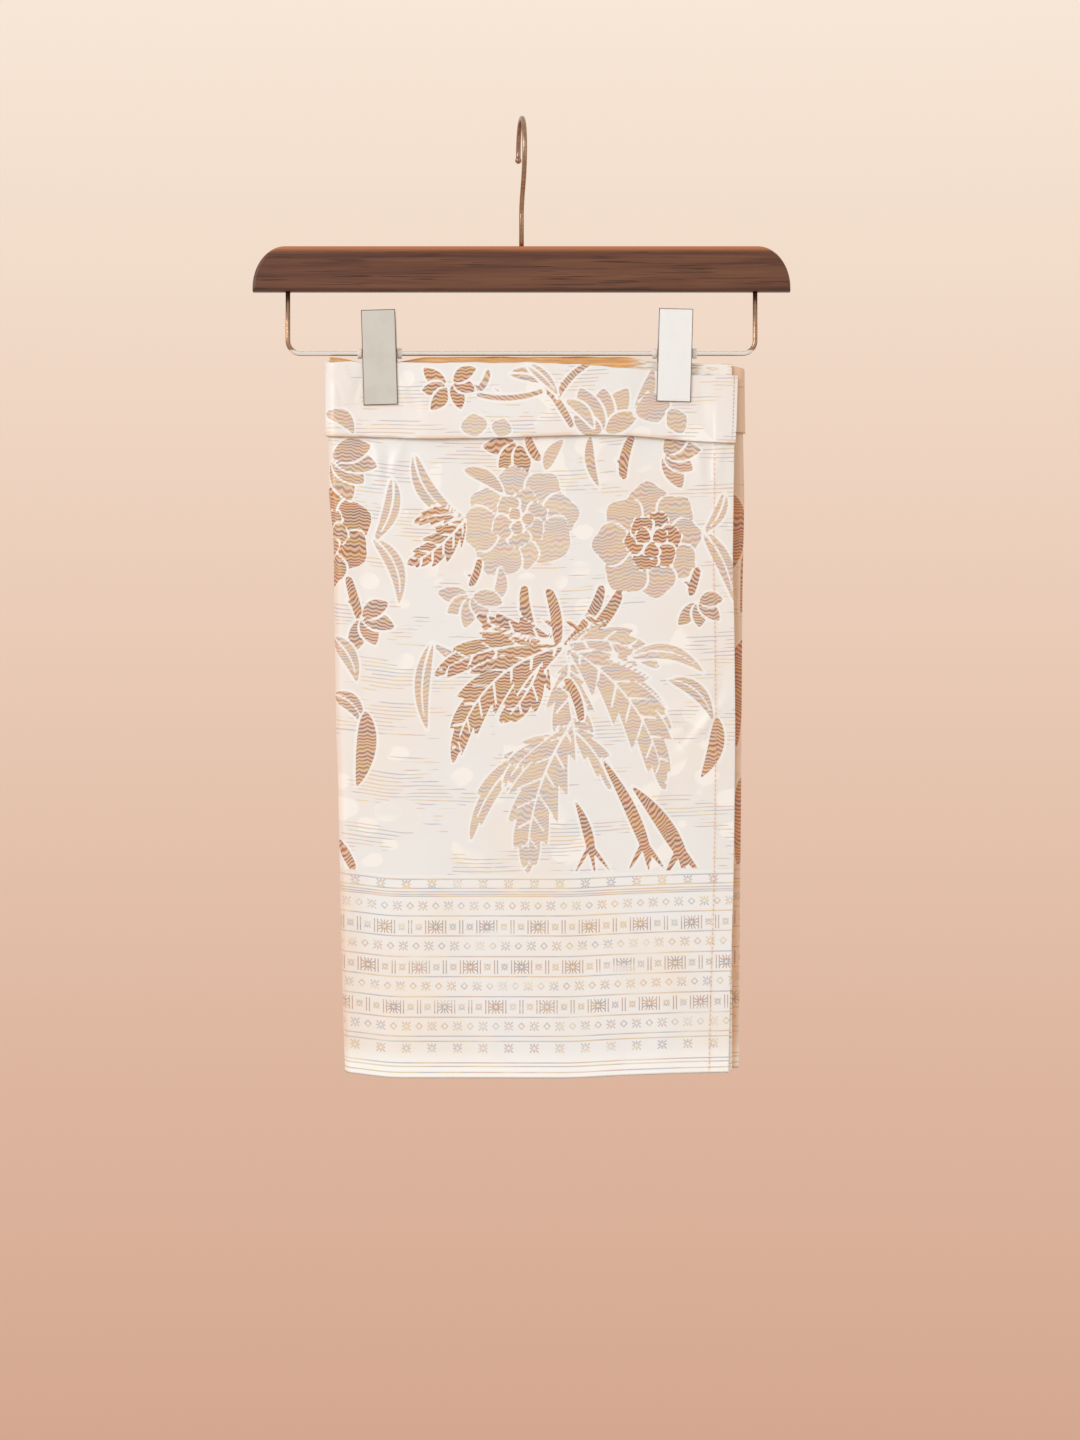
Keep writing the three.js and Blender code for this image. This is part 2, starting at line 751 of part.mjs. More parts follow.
// The wire frame below the bar that carries the clips.
function wireFrame() {
  const { x, low, bend, inBar } = FRAME;
  const points = [new THREE.Vector3(-x, 0, inBar)];
  for (let angle = 0; angle <= 90; angle += 15) {
    const turn = degToRad(angle);
    const across = bend - x - bend * Math.cos(turn);
    points.push(new THREE.Vector3(across, 0, low + bend - bend * Math.sin(turn)));
  }
  for (let angle = 90; angle >= 0; angle -= 15) {
    const turn = degToRad(angle);
    const across = x - bend + bend * Math.cos(turn);
    points.push(new THREE.Vector3(across, 0, low + bend - bend * Math.sin(turn)));
  }
  points.push(new THREE.Vector3(x, 0, inBar));
  return rod(points, WIRE_RADIUS, WIRE_SIDES);
}

// A clip's plate with its two ears on the pivot, made at the pivot with its outer face to the front.
function plate(clip, earFace) {
  const { width, thick, bevel, spread } = PLATE;
  const outline = new THREE.Shape();
  const half = width / 2 - bevel;
  outline.moveTo(-half, -clip.below + bevel);
  outline.lineTo(half, -clip.below + bevel);
  outline.lineTo(half, clip.above - bevel);
  outline.lineTo(-half, clip.above - bevel);
  const face = new THREE.ExtrudeGeometry(outline, {
    depth: thick - bevel,
    bevelThickness: bevel,
    bevelSize: bevel,
    bevelSegments: 1,
  });
  const front = toSolid(face);
  const trimmed = front.trimByPlane([0, 0, 1], 0);
  const standing = trimmed.rotate([90, 0, 0]);
  const inner = jawAt(FRAME.low);
  const lean = Math.atan(spread);
  let shape = standing.rotate([THREE.MathUtils.radToDeg(lean), 0, 0]).translate([0, -inner, 0]);
  for (const side of [-1, 1]) {
    const ear = new THREE.Shape();
    const root = inner + thick / 2;
    ear.moveTo(-root, -EAR.radius);
    ear.lineTo(0, -EAR.radius);
    ear.absarc(0, 0, EAR.radius, -Math.PI / 2, Math.PI / 2, false);
    ear.lineTo(-root - EAR.rise * spread, EAR.rise);
    const hole = new THREE.Path();
    hole.absarc(0, 0, EAR.hole, 0, Math.PI * 2, true);
    ear.holes.push(hole);
    const geometry = new THREE.ExtrudeGeometry(ear, {
      depth: EAR.thick,
      bevelEnabled: false,
      curveSegments: 10,
    });
    geometry.rotateX(Math.PI / 2);
    geometry.rotateZ(Math.PI / 2);
    const from = side > 0 ? earFace - EAR.thick : -earFace;
    geometry.translate(from, 0, 0);
    shape = shape.add(toSolid(geometry));
  }
  return shape;
}

function placedPlate(clip, behind) {
  const earFace = PLATE.width / 2 - (behind ? STEP : 0);
  let shape = plate(clip, earFace);
  if (behind) {
    shape = shape.rotate([0, 0, 180]);
  }
  return toGeometry(shape.rotate([0, -clip.turn, 0]).translate([clip.x, 0, FRAME.low]));
}

// The plastic sleeve between the clip and the wire, with a collar outside each ear.
function sleeve(clip) {
  const { bore, tube, collar, collarWide } = SLEEVE;
  const inside = PLATE.width / 2 + GAP * 2;
  const end = inside + collarWide;
  const profile = [
    [bore, -end], [collar, -end], [collar, -inside], [tube, -inside],
    [tube, inside], [collar, inside], [collar, end], [bore, end], [bore, -end],
  ];
  const geometry = new THREE.LatheGeometry(profile.map(([r, y]) => new THREE.Vector2(r, y)), 16);
  geometry.rotateZ(Math.PI / 2);
  return toGeometry(toSolid(geometry).translate([clip.x, 0, FRAME.low]));
}

// The spring coiled on the sleeve, with a leg up to the inside of each plate.
function spring(clip) {
  const { wire, coil, pitch, turns, leg } = SPRING;
  const points = [];
  const half = (turns * pitch) / 2;
  const end = (side) => side * (jawAt(FRAME.low) + PLATE.spread * leg - wire - GAP * 2);
  points.push(new THREE.Vector3(-half, end(-1), leg));
  const steps = (turns + 0.5) * SPRING_STEPS;
  for (let i = 0; i <= steps; i += 1) {
    const turn = Math.PI - (i / SPRING_STEPS) * Math.PI * 2;
    const x = lerp(-half, half, i / steps);
    points.push(new THREE.Vector3(x, coil * Math.cos(turn), -coil * Math.sin(turn)));
  }
  points.push(new THREE.Vector3(half, end(1), leg));
  const geometry = rod(points, wire, SPRING_SIDES);
  geometry.translate(clip.x, 0, FRAME.low);
  return geometry;
}

const group = new THREE.Group();

function add(name, geometry, look) {
  const mesh = new THREE.Mesh(geometry, new THREE.MeshStandardMaterial(look));
  mesh.name = name;
  group.add(mesh);
}

const hemFrom = FRONT_EDGE[0].x - HEM_WIDTH - STEP;
const bandLift = (stop, x) => read(BAND_FOOT, 'x', 'lift', x) * (1 - aroundFold(stop));
const frontBandFoot = (stop, x) => lerp(read(BAND_FOOT, 'x', 'z', x), REAR_BAND_FOOT, aroundFold(stop));
const backLeaf = (x) => {
  const nearHem = smoothstep(x, hemFrom - HEM_WIDTH, hemFrom - STEP * 3);
  return lerp(BAND_BACK_LEAF, BAND_END_LEAF, nearHem);
};
const frontCloth = stretchGrid(frontStops(true), ROWS, frontTop, frontFoot);
const rearCloth = stretchGrid(rearStops(), REAR_ROWS, rearTop, () => REAR_FOOT);
const frontBand = bandGrid(frontStops(false), frontTop, frontBandFoot, bandLift, backLeaf);
const rearBand = bandGrid(rearStops(), rearTop, () => REAR_BAND_FOOT, () => 0, () => BAND_BACK_LEAF);

add('front_stretch', wall(frontCloth, WALL), LOOK.satin);
add('rear_stretch', wall(rearCloth, WALL), LOOK.satin);
add('waistband_front', wall(frontBand, WALL), LOOK.band);
add('waistband_rear', wall(rearBand, WALL), LOOK.band);
add('inner_layers', innerLayers(), LOOK.shaded);
add('hanger_bar', bar(), LOOK.walnut);
add('hanger_hook', hook(), LOOK.chrome);
add('hanger_wire', wireFrame(), LOOK.chrome);
for (const clip of CLIPS) {
  add(`clip_front_${clip.side}`, placedPlate(clip, false), LOOK.nickel);
  add(`clip_rear_${clip.side}`, placedPlate(clip, true), LOOK.nickel);
  add(`clip_sleeve_${clip.side}`, sleeve(clip), LOOK.plastic);
  add(`clip_spring_${clip.side}`, spring(clip), LOOK.spring);
}

export default group;
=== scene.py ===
# Looks of the folded sampin on its clip hanger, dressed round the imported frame.
# Lengths in the tables are millimetres in the frame: X right, front towards -Y, Z up.
import math
from collections import namedtuple

import bpy
import numpy as np
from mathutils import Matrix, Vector


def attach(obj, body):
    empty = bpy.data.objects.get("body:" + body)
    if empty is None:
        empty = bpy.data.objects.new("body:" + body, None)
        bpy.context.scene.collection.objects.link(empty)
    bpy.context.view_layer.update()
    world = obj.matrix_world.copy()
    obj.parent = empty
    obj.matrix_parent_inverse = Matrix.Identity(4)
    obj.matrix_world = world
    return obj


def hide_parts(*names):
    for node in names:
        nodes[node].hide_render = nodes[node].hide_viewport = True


MM = 0.001
PI = math.pi

# Shape of the folded cloth, as in the frame's solids
STEP = 1.3
HALF = 0.5
CLEAR = 0.8
HEM_WIDTH = 13.0
LEFT_REACH = 6.0
NOSE_REACH = 3.4
NOSE_ROUND = (NOSE_REACH + 3.0) / 2
LIP_WIDTH = 9.0
LIP_DEPTH = 0.3
SEAM_X = -108.0
SEAM_GAP = 0.3
REAR_FOOT = -634.9
REAR_BAND_FOOT = -209.3
BACK_LEAF = 4.0
BAND_LIFT_HEIGHT = 26.0

# Each row is a height, then the place of an edge there
LEFT_EDGE = (
    (-645, -118.2), (-627, -118.8), (-593, -120.0), (-546, -121.0), (-479, -122.4),
    (-439, -123.2), (-412, -124.4), (-358, -125.2), (-278, -126.2), (-250, -129.5),
    (-226, -129.3), (-213, -130.0), (-160, -130.2),
)
FRONT_EDGE = (
    (-645, 138.3), (-579, 139.7), (-517, 141.7), (-461, 142.5), (-406, 143.0),
    (-339, 142.4), (-294, 141.3), (-218, 142.4), (-160, 142.6),
)
NOSE_EDGE = (
    (-645, 145.6), (-593, 146.5), (-501, 147.2), (-425, 147.8), (-313, 148.5),
    (-254, 149.8), (-212, 148.9), (-160, 148.3),
)
BAND_END = ((-220, 142.7), (-208, 143.7), (-160, 145.0))
LOOSE_DEPTH = ((-645, 6.4), (-300, 5.9), (-212, 5.7), (-155, 5.7))

# Each row is a place across, then the height of an edge there
FRONT_FOOT = (
    (-130, -636.8), (-116, -637.5), (-100, -639.6), (-88, -641.1), (36, -641.2),
    (60, -639.8), (100, -638.2), (145, -637.1),
)
BAND_TOP = (
    (-132, -162.2), (-120, -161.2), (-105, -161.9), (20, -162.1), (53, -164.2),
    (86, -166.9), (113, -170.2), (146, -170.5),
)
BAND_FOOT = (
    (-132, -212.3), (-92, -212.9), (-62, -214.2), (-34, -213.7), (5, -212.7),
    (53, -211.2), (73, -211.9), (111, -215.2), (146, -217.3),
)
BAND_LIFT = (
    (-132, 0.1), (-92, 0.5), (-62, 0.9), (-34, 0.6), (5, 0.7),
    (53, 0.9), (73, 0.8), (111, 0.5), (146, 0.3),
)
REAR_TOP = (
    (-132, -158.6), (-124, -157.5), (-119, -158.0), (-111, -161.4), (-79, -161.4),
    (-71, -158.0), (-60, -157.5), (78, -157.5), (86, -161.4), (118, -162.8),
    (142, -163.0), (150, -166.0),
)
INNER_TOP = ((-132, -163.2), (20, -162.6), (53, -161.8), (86, -162.2), (142, -163.2))

# Ridges as x, z, width, height, lean, rise
FRONT_RIDGES = (
    (-88, -226, 9, 20, 0, 0.9), (-112, -252, 10, 34, 0, 0.6), (124, -230, 8, 22, 0, 0.9),
    (119, -408, 10, 26, -0.5, 1.2), (84, -470, 16, 60, 0.1, 0.7),
    (20, -630, 30, 70, 0, 0.9), (-72, -600, 22, 110, 0, 0.6),
)
REAR_RIDGES = (
    (-70, -236, 12, 34, 0, 0.9), (76, -240, 12, 34, 0, 0.9),
    (-20, -470, 26, 120, 0.1, 0.9), (60, -610, 24, 90, 0, 1.0),
)

# Small creases as x, z, width, length, angle from upright in degrees, rise
FRONT_CREASES = (
    (-96, -226, 3.0, 12, 12, 0.55), (-90, -232, 3.0, 14, -4, -0.5),
    (-82, -224, 3.4, 11, -16, 0.5), (-101, -238, 3.2, 22, 20, -0.4),
    (118, -226, 3.0, 12, 10, 0.6), (125, -232, 3.0, 16, 0, -0.55),
    (132, -228, 3.2, 13, -10, 0.5), (110, -240, 4.0, 20, 24, -0.35),
    (122, -404, 3.6, 17, -42, 1.3), (112, -412, 4.5, 18, -48, -1.0),
    (104, -396, 5.0, 20, -56, 0.35), (131, -390, 3.6, 22, -12, -0.45),
    (101, -456, 7.0, 34, 6, -0.5), (133, -262, 4.0, 28, 2, 0.4),
    (-118, -300, 5.0, 60, 3, 0.35), (-106, -330, 6.0, 70, 2, -0.35),
    (-60, -520, 12.0, 80, 4, 0.35), (44, -560, 12.0, 70, -5, -0.4),
    (-20, -606, 9.0, 36, 3, 0.4), (96, -600, 8.0, 44, -4, 0.45),
    (70, -626, 6.0, 18, 2, -0.35), (-96, -618, 6.0, 24, 2, -0.3),
)
BAND_CREASES = (
    (-123, -178, 1.8, 13, 14, -0.75), (-116, -172, 2.6, 10, 26, 0.5), (-110, -180, 2.2, 11, -16, -0.5),
    (-79, -180, 2.4, 13, 12, 0.5), (-72, -188, 2.8, 14, 20, -0.45), (85, -186, 2.6, 13, -10, 0.5),
    (121, -190, 3.0, 16, 8, -0.55), (130, -196, 3.5, 14, 12, 0.45), (30, -200, 6.0, 12, -30, 0.3),
    (-30, -196, 7.0, 12, 24, -0.3),
)
REAR_CREASES = (
    (-92, -232, 3.4, 16, 8, 0.5), (-100, -240, 3.6, 18, -10, -0.45),
    (96, -232, 3.4, 16, -8, 0.5), (104, -242, 3.6, 18, 10, -0.45),
    (-40, -420, 7.0, 60, 8, 0.4), (30, -380, 8.0, 70, -6, -0.4),
    (-70, -570, 8.0, 50, -4, 0.4), (84, -540, 8.0, 60, 5, 0.35),
)

# How strong the creases are, and the heights between which they fade out under the waistband
CREASE_RISE = 1.9
FRONT_SOFT_TOP = (-215, -170)
REAR_SOFT_TOP = (-212, -170)

# How far the turned-under hem lifts the front, rising over these distances from its inner edge
HEM_RISE = 0.6
HEM_SLOPE = (-1.5, 0.5)

# Places across of the clips, which press the cloth flat beside their jaws
CLIPS = (-95.0, 102.6)
PINCH_FLAT = 13.0
PINCH_FADE = 21.0
JAW = 5.6
JAW_Z = -190.0
JAW_SPREAD = 0.038
PINCH_FOOT = -255.0

# Hook and wire frame. A pull is how far the bend keeps to the line that it leaves or joins.
HOOK = {
    "centre": -20.0, "radius": 21.6, "stem_top": -64.0, "stem_foot": -100.0, "stem_pull": 16.0,
    "arc_pull": 24.0, "yaw": 6.0, "tip": -23.0,
}
BEND_STEPS = 24
ARC_STEPS = 40
CORNER_STEPS = 12
FRAME = {"x": 156.6, "low": -155.9, "bend": 8.5, "in_bar": -104.0}
WIRE_RADIUS = 1.6
WIRE_LEVEL = (FRAME["low"] + WIRE_RADIUS) * MM
TIP_RADIUS = 2.2

# How far each face stands off its middle surface, the turned edges' depth and width, how far the cloth
# stops below its waistband's top, and the width and depth of the band's turned end
CLOTH_FACE = 0.35
BAND_FACE = 0.6
EDGE_TURN = 0.7
EDGE_LEAF = 3.0
TOP_COVER = 0.6
BAND_END_TURN = (7.0, 0.8)

# Columns and rows of points in each sheet, more columns round its folds, and a height to start from
START_Z = -400.0
FOLD_COLUMNS = {"fold": 20, "behind": 6, "nose": 16, "lip": 5}
FRONT_COUNTS = (270, 296)
REAR_COUNTS = (190, 200)
BAND_COUNTS = (270, 50)
REAR_BAND_COUNTS = (160, 36)

# Hidden plies from front to back, each with its top and foot against the cloth's, and its right end
PLIES = (
    (-0.6, 1.6, 141.0), (0.0, 3.2, 140.4), (-0.4, 2.2, 141.2),
    (-1.4, 3.6, 132.0), (-0.9, 2.4, 140.4), (-0.5, 1.0, 141.0),
)
FRONT_PLIES = 3
PLY_COUNTS = (60, 110)
PLY_GAP = 0.3
PLY_FILL = 0.42
PLY_ROUND = 0.9

# Rows of stitches up an edge, with the distance in from it and out from the cloth's middle surface
HEM_STITCHES = {
    "inset": HEM_WIDTH, "proud": CLOTH_FACE, "foot": -634, "top": -222, "pitch": 3.2, "half_length": 1.0,
}
END_STITCHES = {
    "inset": 2.5, "proud": STEP + BAND_FACE + 0.3, "foot": -213, "top": -171, "pitch": 2.6,
    "half_length": 0.9,
}

# Each section of a stitch: place along its half length, share of its width and of its rise
STITCH_HALF_WIDTH = 0.28
STITCH_RISE = 0.22
STITCH_ROOT = 0.2
STITCH_SECTIONS = ((-1, 0.35, 0.0), (-0.6, 1, 1), (0.6, 1, 1), (1, 0.35, 0.0))

# Painted shade on the cloth: a shadow line down the hem's inner edge, a warm painted reflection by the left
# fold, shade at the waistband's foot (where its turned edge also shows some of the tan reverse) and shade on
# the rear's lip
HEM_SHADE = 0.4
HEM_SHADE_WIDTH = 1.1
FOLD_SHADE = 0.42
FOLD_SHADE_WIDTH = (0.5, 6.0)
BAND_SHADE = 0.8
LIP_SHADE = (146.0, 152.0)

# Woven motifs
PATCH_GAP = 1.7
PATCH_ROOM = 8
TOOTH_DEPTH = 0.42
TOOTH_SLANT = 0.75
TOOTH_POINT = 0.6
RIB_HALF = 0.95
RIB_END = 0.86
VEIN_HALF = 0.75
VEIN_SLANT = 0.85
VEIN_REACH = 0.8
STEM_SLANT = 0.7
OUTSIDE = -20.0
PLAIN_TONE = 0.4

# The woven border, in heights over the cloth's foot. Rows of figures also have a phase along the cloth,
# and figures their reach and half thickness.
BORDER_TOP = 136.0
BORDER_LINES = (
    4.0, 8.0, 10.4, 24.8, 28.2, 40.9, 54.6, 68.0, 81.4, 95.2, 108.6, 121.7, 123.0, 124.7, 127.0, 133.1,
)
STRONG_ROWS = ((47.8, 0.0), (74.4, 17.0), (101.2, 6.0))
FAINT_ROWS = ((34.9, 0.0), (61.7, 4.0), (88.5, 2.0), (115.3, 6.0))
SMALL_ROWS = (20.1, 129.7)
BOX_PITCH = 11.4
SMALL_PITCH = 17.1
ROSETTE = (4.4, 0.36)
BOX_STAR = (2.2, 0.45)
ROW_STAR = (3.0, 0.42)
ROW_DIAMOND = (2.1, 0.5)
EDGE_STAR = (3.0, 0.5)
STAR_HOLE = 0.3
STEEP = 1.73
BAR_INSET = 1.0
BAR_HALF = 0.35
BAR_TALL = 4.5
LINE_HALF = 0.38
PITCHES_ASIDE = 60

# Added to a height on a waistband for its cloth coordinate, which is clear of the border
BAND_V = 452.0

# Threads
THREAD_PITCH = 2.45
WEFT_PITCH = 2.6
SCALLOP_TURN = 0.55
SCALLOP_RISE = 0.9
THREAD_DRIFT = 14.0
WEFT_SWAY = 4.5
SLANT_SPREAD = 0.28

# Mixed hues, each row a place from 0 to 1 and a colour from 0 to 255 as the eye reads it
DEEP_HUES = (
    (0.30, 150, 84, 56), (0.40, 188, 132, 74), (0.47, 176, 104, 88),
    (0.54, 118, 106, 122), (0.61, 184, 144, 66), (0.70, 160, 86, 66),
)
PALE_HUES = (
    (0.30, 224, 188, 166), (0.40, 226, 206, 154), (0.48, 216, 180, 176),
    (0.55, 178, 187, 204), (0.63, 227, 209, 156), (0.72, 220, 176, 172),
)
REVERSE_HUES = ((0.3, 206, 148, 90), (0.5, 226, 171, 110), (0.7, 238, 193, 140))
WOOD_HUES = ((0.30, 80, 44, 28), (0.5, 101, 61, 42), (0.72, 122, 78, 53))

# Where one look gives way to the next, in metres: across the plies, and up the bar into its painted highlight
# on top and its painted shade below
REVERSE_PALER = (0.070, 0.084)
BAR_PAINTED_HIGHLIGHT_HEIGHTS = (-0.0890, -0.0856)
BAR_PAINTED_SHADE_HEIGHTS = (-0.1105, -0.1146)

# Backdrop and room, from low to high over their reach
BACKDROP = ((0.0, 211, 166, 142), (0.3, 223, 184, 161), (0.6, 235, 206, 186), (1.0, 249, 233, 217))
ROOM = ((0.0, 214, 194, 180), (0.5, 240, 236, 231), (1.0, 248, 246, 243))
BACKDROP_REACH = 0.22
ROOM_REACH = 0.9
ROOM_STRENGTH = 0.86

# Floor
FLOOR_CORNERS = ((-4000, -4000), (4000, -4000), (4000, 3000), (-4000, 3000))
FLOOR_HEIGHT = -1750

# Lights and camera in metres, and each light's place, size and watts
KEY_LIGHT = ((-1.7, -1.6, 0.6), (0.9, 0.9), 22.0)
FILL_LIGHT = ((1.6, -2.0, 0.2), (1.4, 1.8), 5.0)
LAMP_COLOR = (1.0, 0.99, 0.985)
AIM = (0, 0, -0.4)
LENS = 85.0
SENSOR = 36.0
VIEW_HEIGHT = 0.9654
VIEW_X = 0.0124
VIEW_Z = -0.4016
CLIP_END = 20


def read(table, at, spread=5.0):
    """Reads a table between its rows, rounded over where the slope changes."""
    keys, values = np.array(table, float).T
    places = spread * np.array([-1.5, -0.5, 0.5, 1.5])
    return sum(np.interp(at + place, keys, values) for place in places) / len(places)


def smooth(at, low, high):
    t = np.clip((at - low) / (high - low), 0, 1)
    return t * t * (3 - 2 * t)


def lerp(a, b, t):
    return a + (b - a) * t


def ridges(table, x, z):
    rise = 0.0
    for at_x, at_z, wide, tall, lean, height in table:
        across = (x - at_x - lean * (z - at_z)) / wide
        down = (z - at_z) / tall
        rise = rise + height * np.exp(-across * across - down * down)
    return rise


def creases(table, x, z):
    rise = 0.0
    for at_x, at_z, wide, length, angle, height in table:
        turn = math.radians(angle)
        across = ((x - at_x) * math.cos(turn) + (z - at_z) * math.sin(turn)) / wide
        along = ((z - at_z) * math.cos(turn) - (x - at_x) * math.sin(turn)) / length
        rise = rise + height * np.exp(-across * across - along * along)
    return rise


def ripple(x, z):
    """Slow unevenness of hanging cloth."""
    slow = np.sin(x / 31 + 0.6 * np.sin(z / 70)) * np.sin(z / 90 + 1.3)
    quick = np.sin(x / 13 + z / 160 + 2.1) * np.sin(z / 48 + 0.4)
    return 0.22 * slow + 0.09 * quick


def half_depth(x, z):
    """Half the depth of the folded cloth, which is pressed flat beside the clips."""
    loose = read(LOOSE_DEPTH, z)
    pressed = JAW + np.maximum(0, z - JAW_Z) * JAW_SPREAD - CLEAR - STEP
    fade = smooth(z, PINCH_FOOT, JAW_Z)
    grip = 0.0
    for clip_x in CLIPS:
        grip = np.maximum(grip, 1 - smooth(np.abs(x - clip_x) - PINCH_FLAT, 0, PINCH_FADE))
    return lerp(loose, pressed, grip * fade)


def front_depth(x, z):
    loose = 1 - smooth(z, *FRONT_SOFT_TOP)
    doubled = HEM_RISE * smooth(x - front_edge(z) + HEM_WIDTH, *HEM_SLOPE)
    soft = CREASE_RISE * creases(FRONT_CREASES, x, z) + ripple(x, z) + doubled
    return half_depth(x, z) + ridges(FRONT_RIDGES, x, z) + soft * loose + creases(BAND_CREASES, x, z)


def rear_depth(x, z):
    loose = 1 - smooth(z, *REAR_SOFT_TOP)
    soft = CREASE_RISE * creases(REAR_CREASES, x, z) + ripple(-x, z)
    return half_depth(x, z) + ridges(REAR_RIDGES, x, z) + soft * loose


def left_fold(z):
    return read(LEFT_EDGE, z) + HALF + LEFT_REACH


def nose(z):
    return read(NOSE_EDGE, z) - HALF - NOSE_REACH


def front_edge(z):
    return read(FRONT_EDGE, z)


def band_end(z):
    return read(BAND_END, z)


# Places of a sheet's points, with the cloth coordinate along the weft, the share of the way round the left
# fold, and how far an edge is turned in there
Plan = namedtuple("Plan", "x y z u around inset")


class Line:
    """Columns of a sheet in plan, from its first end to its last."""

    def __init__(self):
        self.parts = []

    def add(self, kind, places, inset=0.0):
        places = np.atleast_1d(np.array(places, float))
        insets = np.broadcast_to(np.array(inset, float), places.shape)
        self.parts.append((kind, places, insets))

    def add_fold(self, kind):
        self.add(kind, np.linspace(0, 1, FOLD_COLUMNS[kind])[1:])

    def turned_end(self, kind, wide, deep):
        """A hem turned inwards and a round edge. Places are distances from the edge."""
        self.add(kind, np.linspace(wide, deep / 2, 9), deep)
        turns = np.radians(np.linspace(20, 160, 7))
        self.add(kind, deep / 2 * (1 - np.sin(turns)), deep / 2 * (1 + np.cos(turns)))

    def count(self):
        return sum(len(places) for _, places, _ in self.parts)


def front_line(end, columns):
    line = Line()
    line.turned_end("front_end", *end)
    line.add("front", np.linspace(0, 1, columns))
    line.add_fold("fold")
    line.add_fold("behind")
    return line


def rear_line(columns):
    line = Line()
    line.add("back", np.linspace(0, 1, columns))
    line.add_fold("nose")
    line.add_fold("lip")
    return line


def columns_at(kind, here, z, lift, edge):
    """Place across, depth, cloth coordinate and share of the way round, for one kind of column."""
    zero = np.zeros_like(z)
    fold_x = left_fold(z)
    nose_x = nose(z)
    turn = here * PI
    if kind == "front_end":
        x = edge(z) - here
        return x, -front_depth(x, z) - lift, x, zero
    if kind == "front":
        x = lerp(edge(z) - EDGE_TURN, fold_x, here)
        return x, -front_depth(x, z) - lift, x, zero
    if kind == "fold":
        near = -front_depth(fold_x, z)
        far = rear_depth(fold_x, z)
        x = fold_x - (LEFT_REACH + lift) * np.sin(turn)
        y = (near + far) / 2 - ((far - near) / 2 + lift) * np.cos(turn)
        return x, y, fold_x - turn * LEFT_REACH, here
    if kind == "behind":
        x = lerp(fold_x, SEAM_X, here)
        u = fold_x - PI * LEFT_REACH - (x - fold_x)
        return x, rear_depth(x, z) + lift, u, zero + 1
    if kind == "back":
        x = lerp(SEAM_X + SEAM_GAP, nose_x, here)
        return x, rear_depth(x, z) + lift, -x, zero
    if kind == "nose":
        far = rear_depth(nose_x, z)
        x = nose_x + (NOSE_REACH + lift) * np.sin(turn)
        y = (far + LIP_DEPTH) / 2 + ((far - LIP_DEPTH) / 2 + lift) * np.cos(turn)
        return x, y, -nose_x - turn * NOSE_ROUND, zero
    x = nose_x - LIP_WIDTH * here
    return x, LIP_DEPTH - lift, -nose_x - PI * NOSE_ROUND - LIP_WIDTH * here, zero


def plan(line, z, grow, edge):
    """Where a sheet's points lie at their heights, moved out of the middle surface by grow."""
    found = []
    start = 0
    for kind, places, inset in line.parts:
        part = slice(start, start + len(places))
        start = part.stop
        height = z[:, part]
        here = np.broadcast_to(places, height.shape)
        x, y, u, around = columns_at(kind, here, height, grow[:, part], edge)
        found.append((x, y, height, u, around, np.broadcast_to(inset, height.shape)))
    return Plan(*map(np.hstack, zip(*found)))


def round_share(share):
    return smooth(share, 0.1, 1)


def front_top(x, share):
    uneven = 0.25 * np.sin(x / 6.3 + 1) + 0.15 * np.sin(x / 2.7)
    return lerp(read(BAND_TOP, x) + uneven, read(REAR_TOP, x), round_share(share)) - STEP - HALF


def front_foot(x, share):
    return lerp(read(FRONT_FOOT, x), REAR_FOOT, round_share(share))


def rear_top(x, share):
    return read(REAR_TOP, x) - STEP - HALF


def front_cloth_top(x, share):
    return front_top(x, share) - TOP_COVER


def rear_cloth_top(x, share):
    return rear_top(x, share) - TOP_COVER


def rear_foot(x, share):
    return REAR_FOOT


def front_band_foot(x, share):
    return lerp(read(BAND_FOOT, x), REAR_BAND_FOOT, round_share(share))


def rear_band_foot(x, share):
    return REAR_BAND_FOOT


def turned_rows(deep, wide):
    """Heights over a turned edge and the insets there, from the hidden leaf to the face."""
    leaf = [(wide * (1 - i / 3) + deep / 2, deep) for i in range(4)]
    turns = np.radians(np.linspace(20, 160, 5))
    return leaf + [(deep / 2 * (1 - math.sin(turn)), deep / 2 * (1 + math.cos(turn))) for turn in turns]


def cloth_sheet(line, rows, foot_at, top_at, edge, face, over=False, lifted=False):
    """A stretch of cloth with its foot turned in and its top plain or folded over."""
    turned = turned_rows(EDGE_TURN, EDGE_LEAF)
    rise, inset = np.array(turned + [(0.0, 0.0)] * rows).T[:, :, None]
    share = np.concatenate([np.zeros(len(turned)), np.linspace(0, 1, rows)])[:, None]
    z = np.full((len(share), line.count()), START_Z)
    grow = np.full(z.shape, face)
    for _ in range(3):
        found = plan(line, z, grow, edge)
        low = foot_at(found.x, found.around)
        z = lerp(low, top_at(found.x, found.around), share) + rise
    if lifted:
        off = read(BAND_LIFT, found.x) * (1 - round_share(found.around))
        grow = grow + off * (1 - smooth(z - low, 0, BAND_LIFT_HEIGHT))
    grow = grow - np.maximum(found.inset, inset)
    found = plan(line, z, grow, edge)
    return fold_over(line, found, grow, edge) if over else found


def fold_over(line, found, grow, edge):
    """Adds the rows that carry a waistband over the cloth's top edge and down behind it."""
    top = found.z[-1:]
    reach = grow[-1:]
    rows = [found]
    for turn in PI * np.linspace(0.1, 1, 10):
        rows.append(plan(line, top + STEP * np.sin(turn), reach * np.cos(turn), edge))
    for part in (0.33, 0.66, 1.0):
        rows.append(plan(line, top - BACK_LEAF * part, -reach, edge))
    return Plan(*map(np.vstack, zip(*rows)))


# A blade is a pointed shape from one end to the other, with its half width, how far its middle bows aside,
# where it is widest, how sharp its ends are, its teeth, the spacing of its side veins and if it has a midrib
Blade = namedtuple(
    "Blade", "x0 z0 x1 z1 wide bend skew sharp teeth vein rib", defaults=(0, 0.0, False),
)

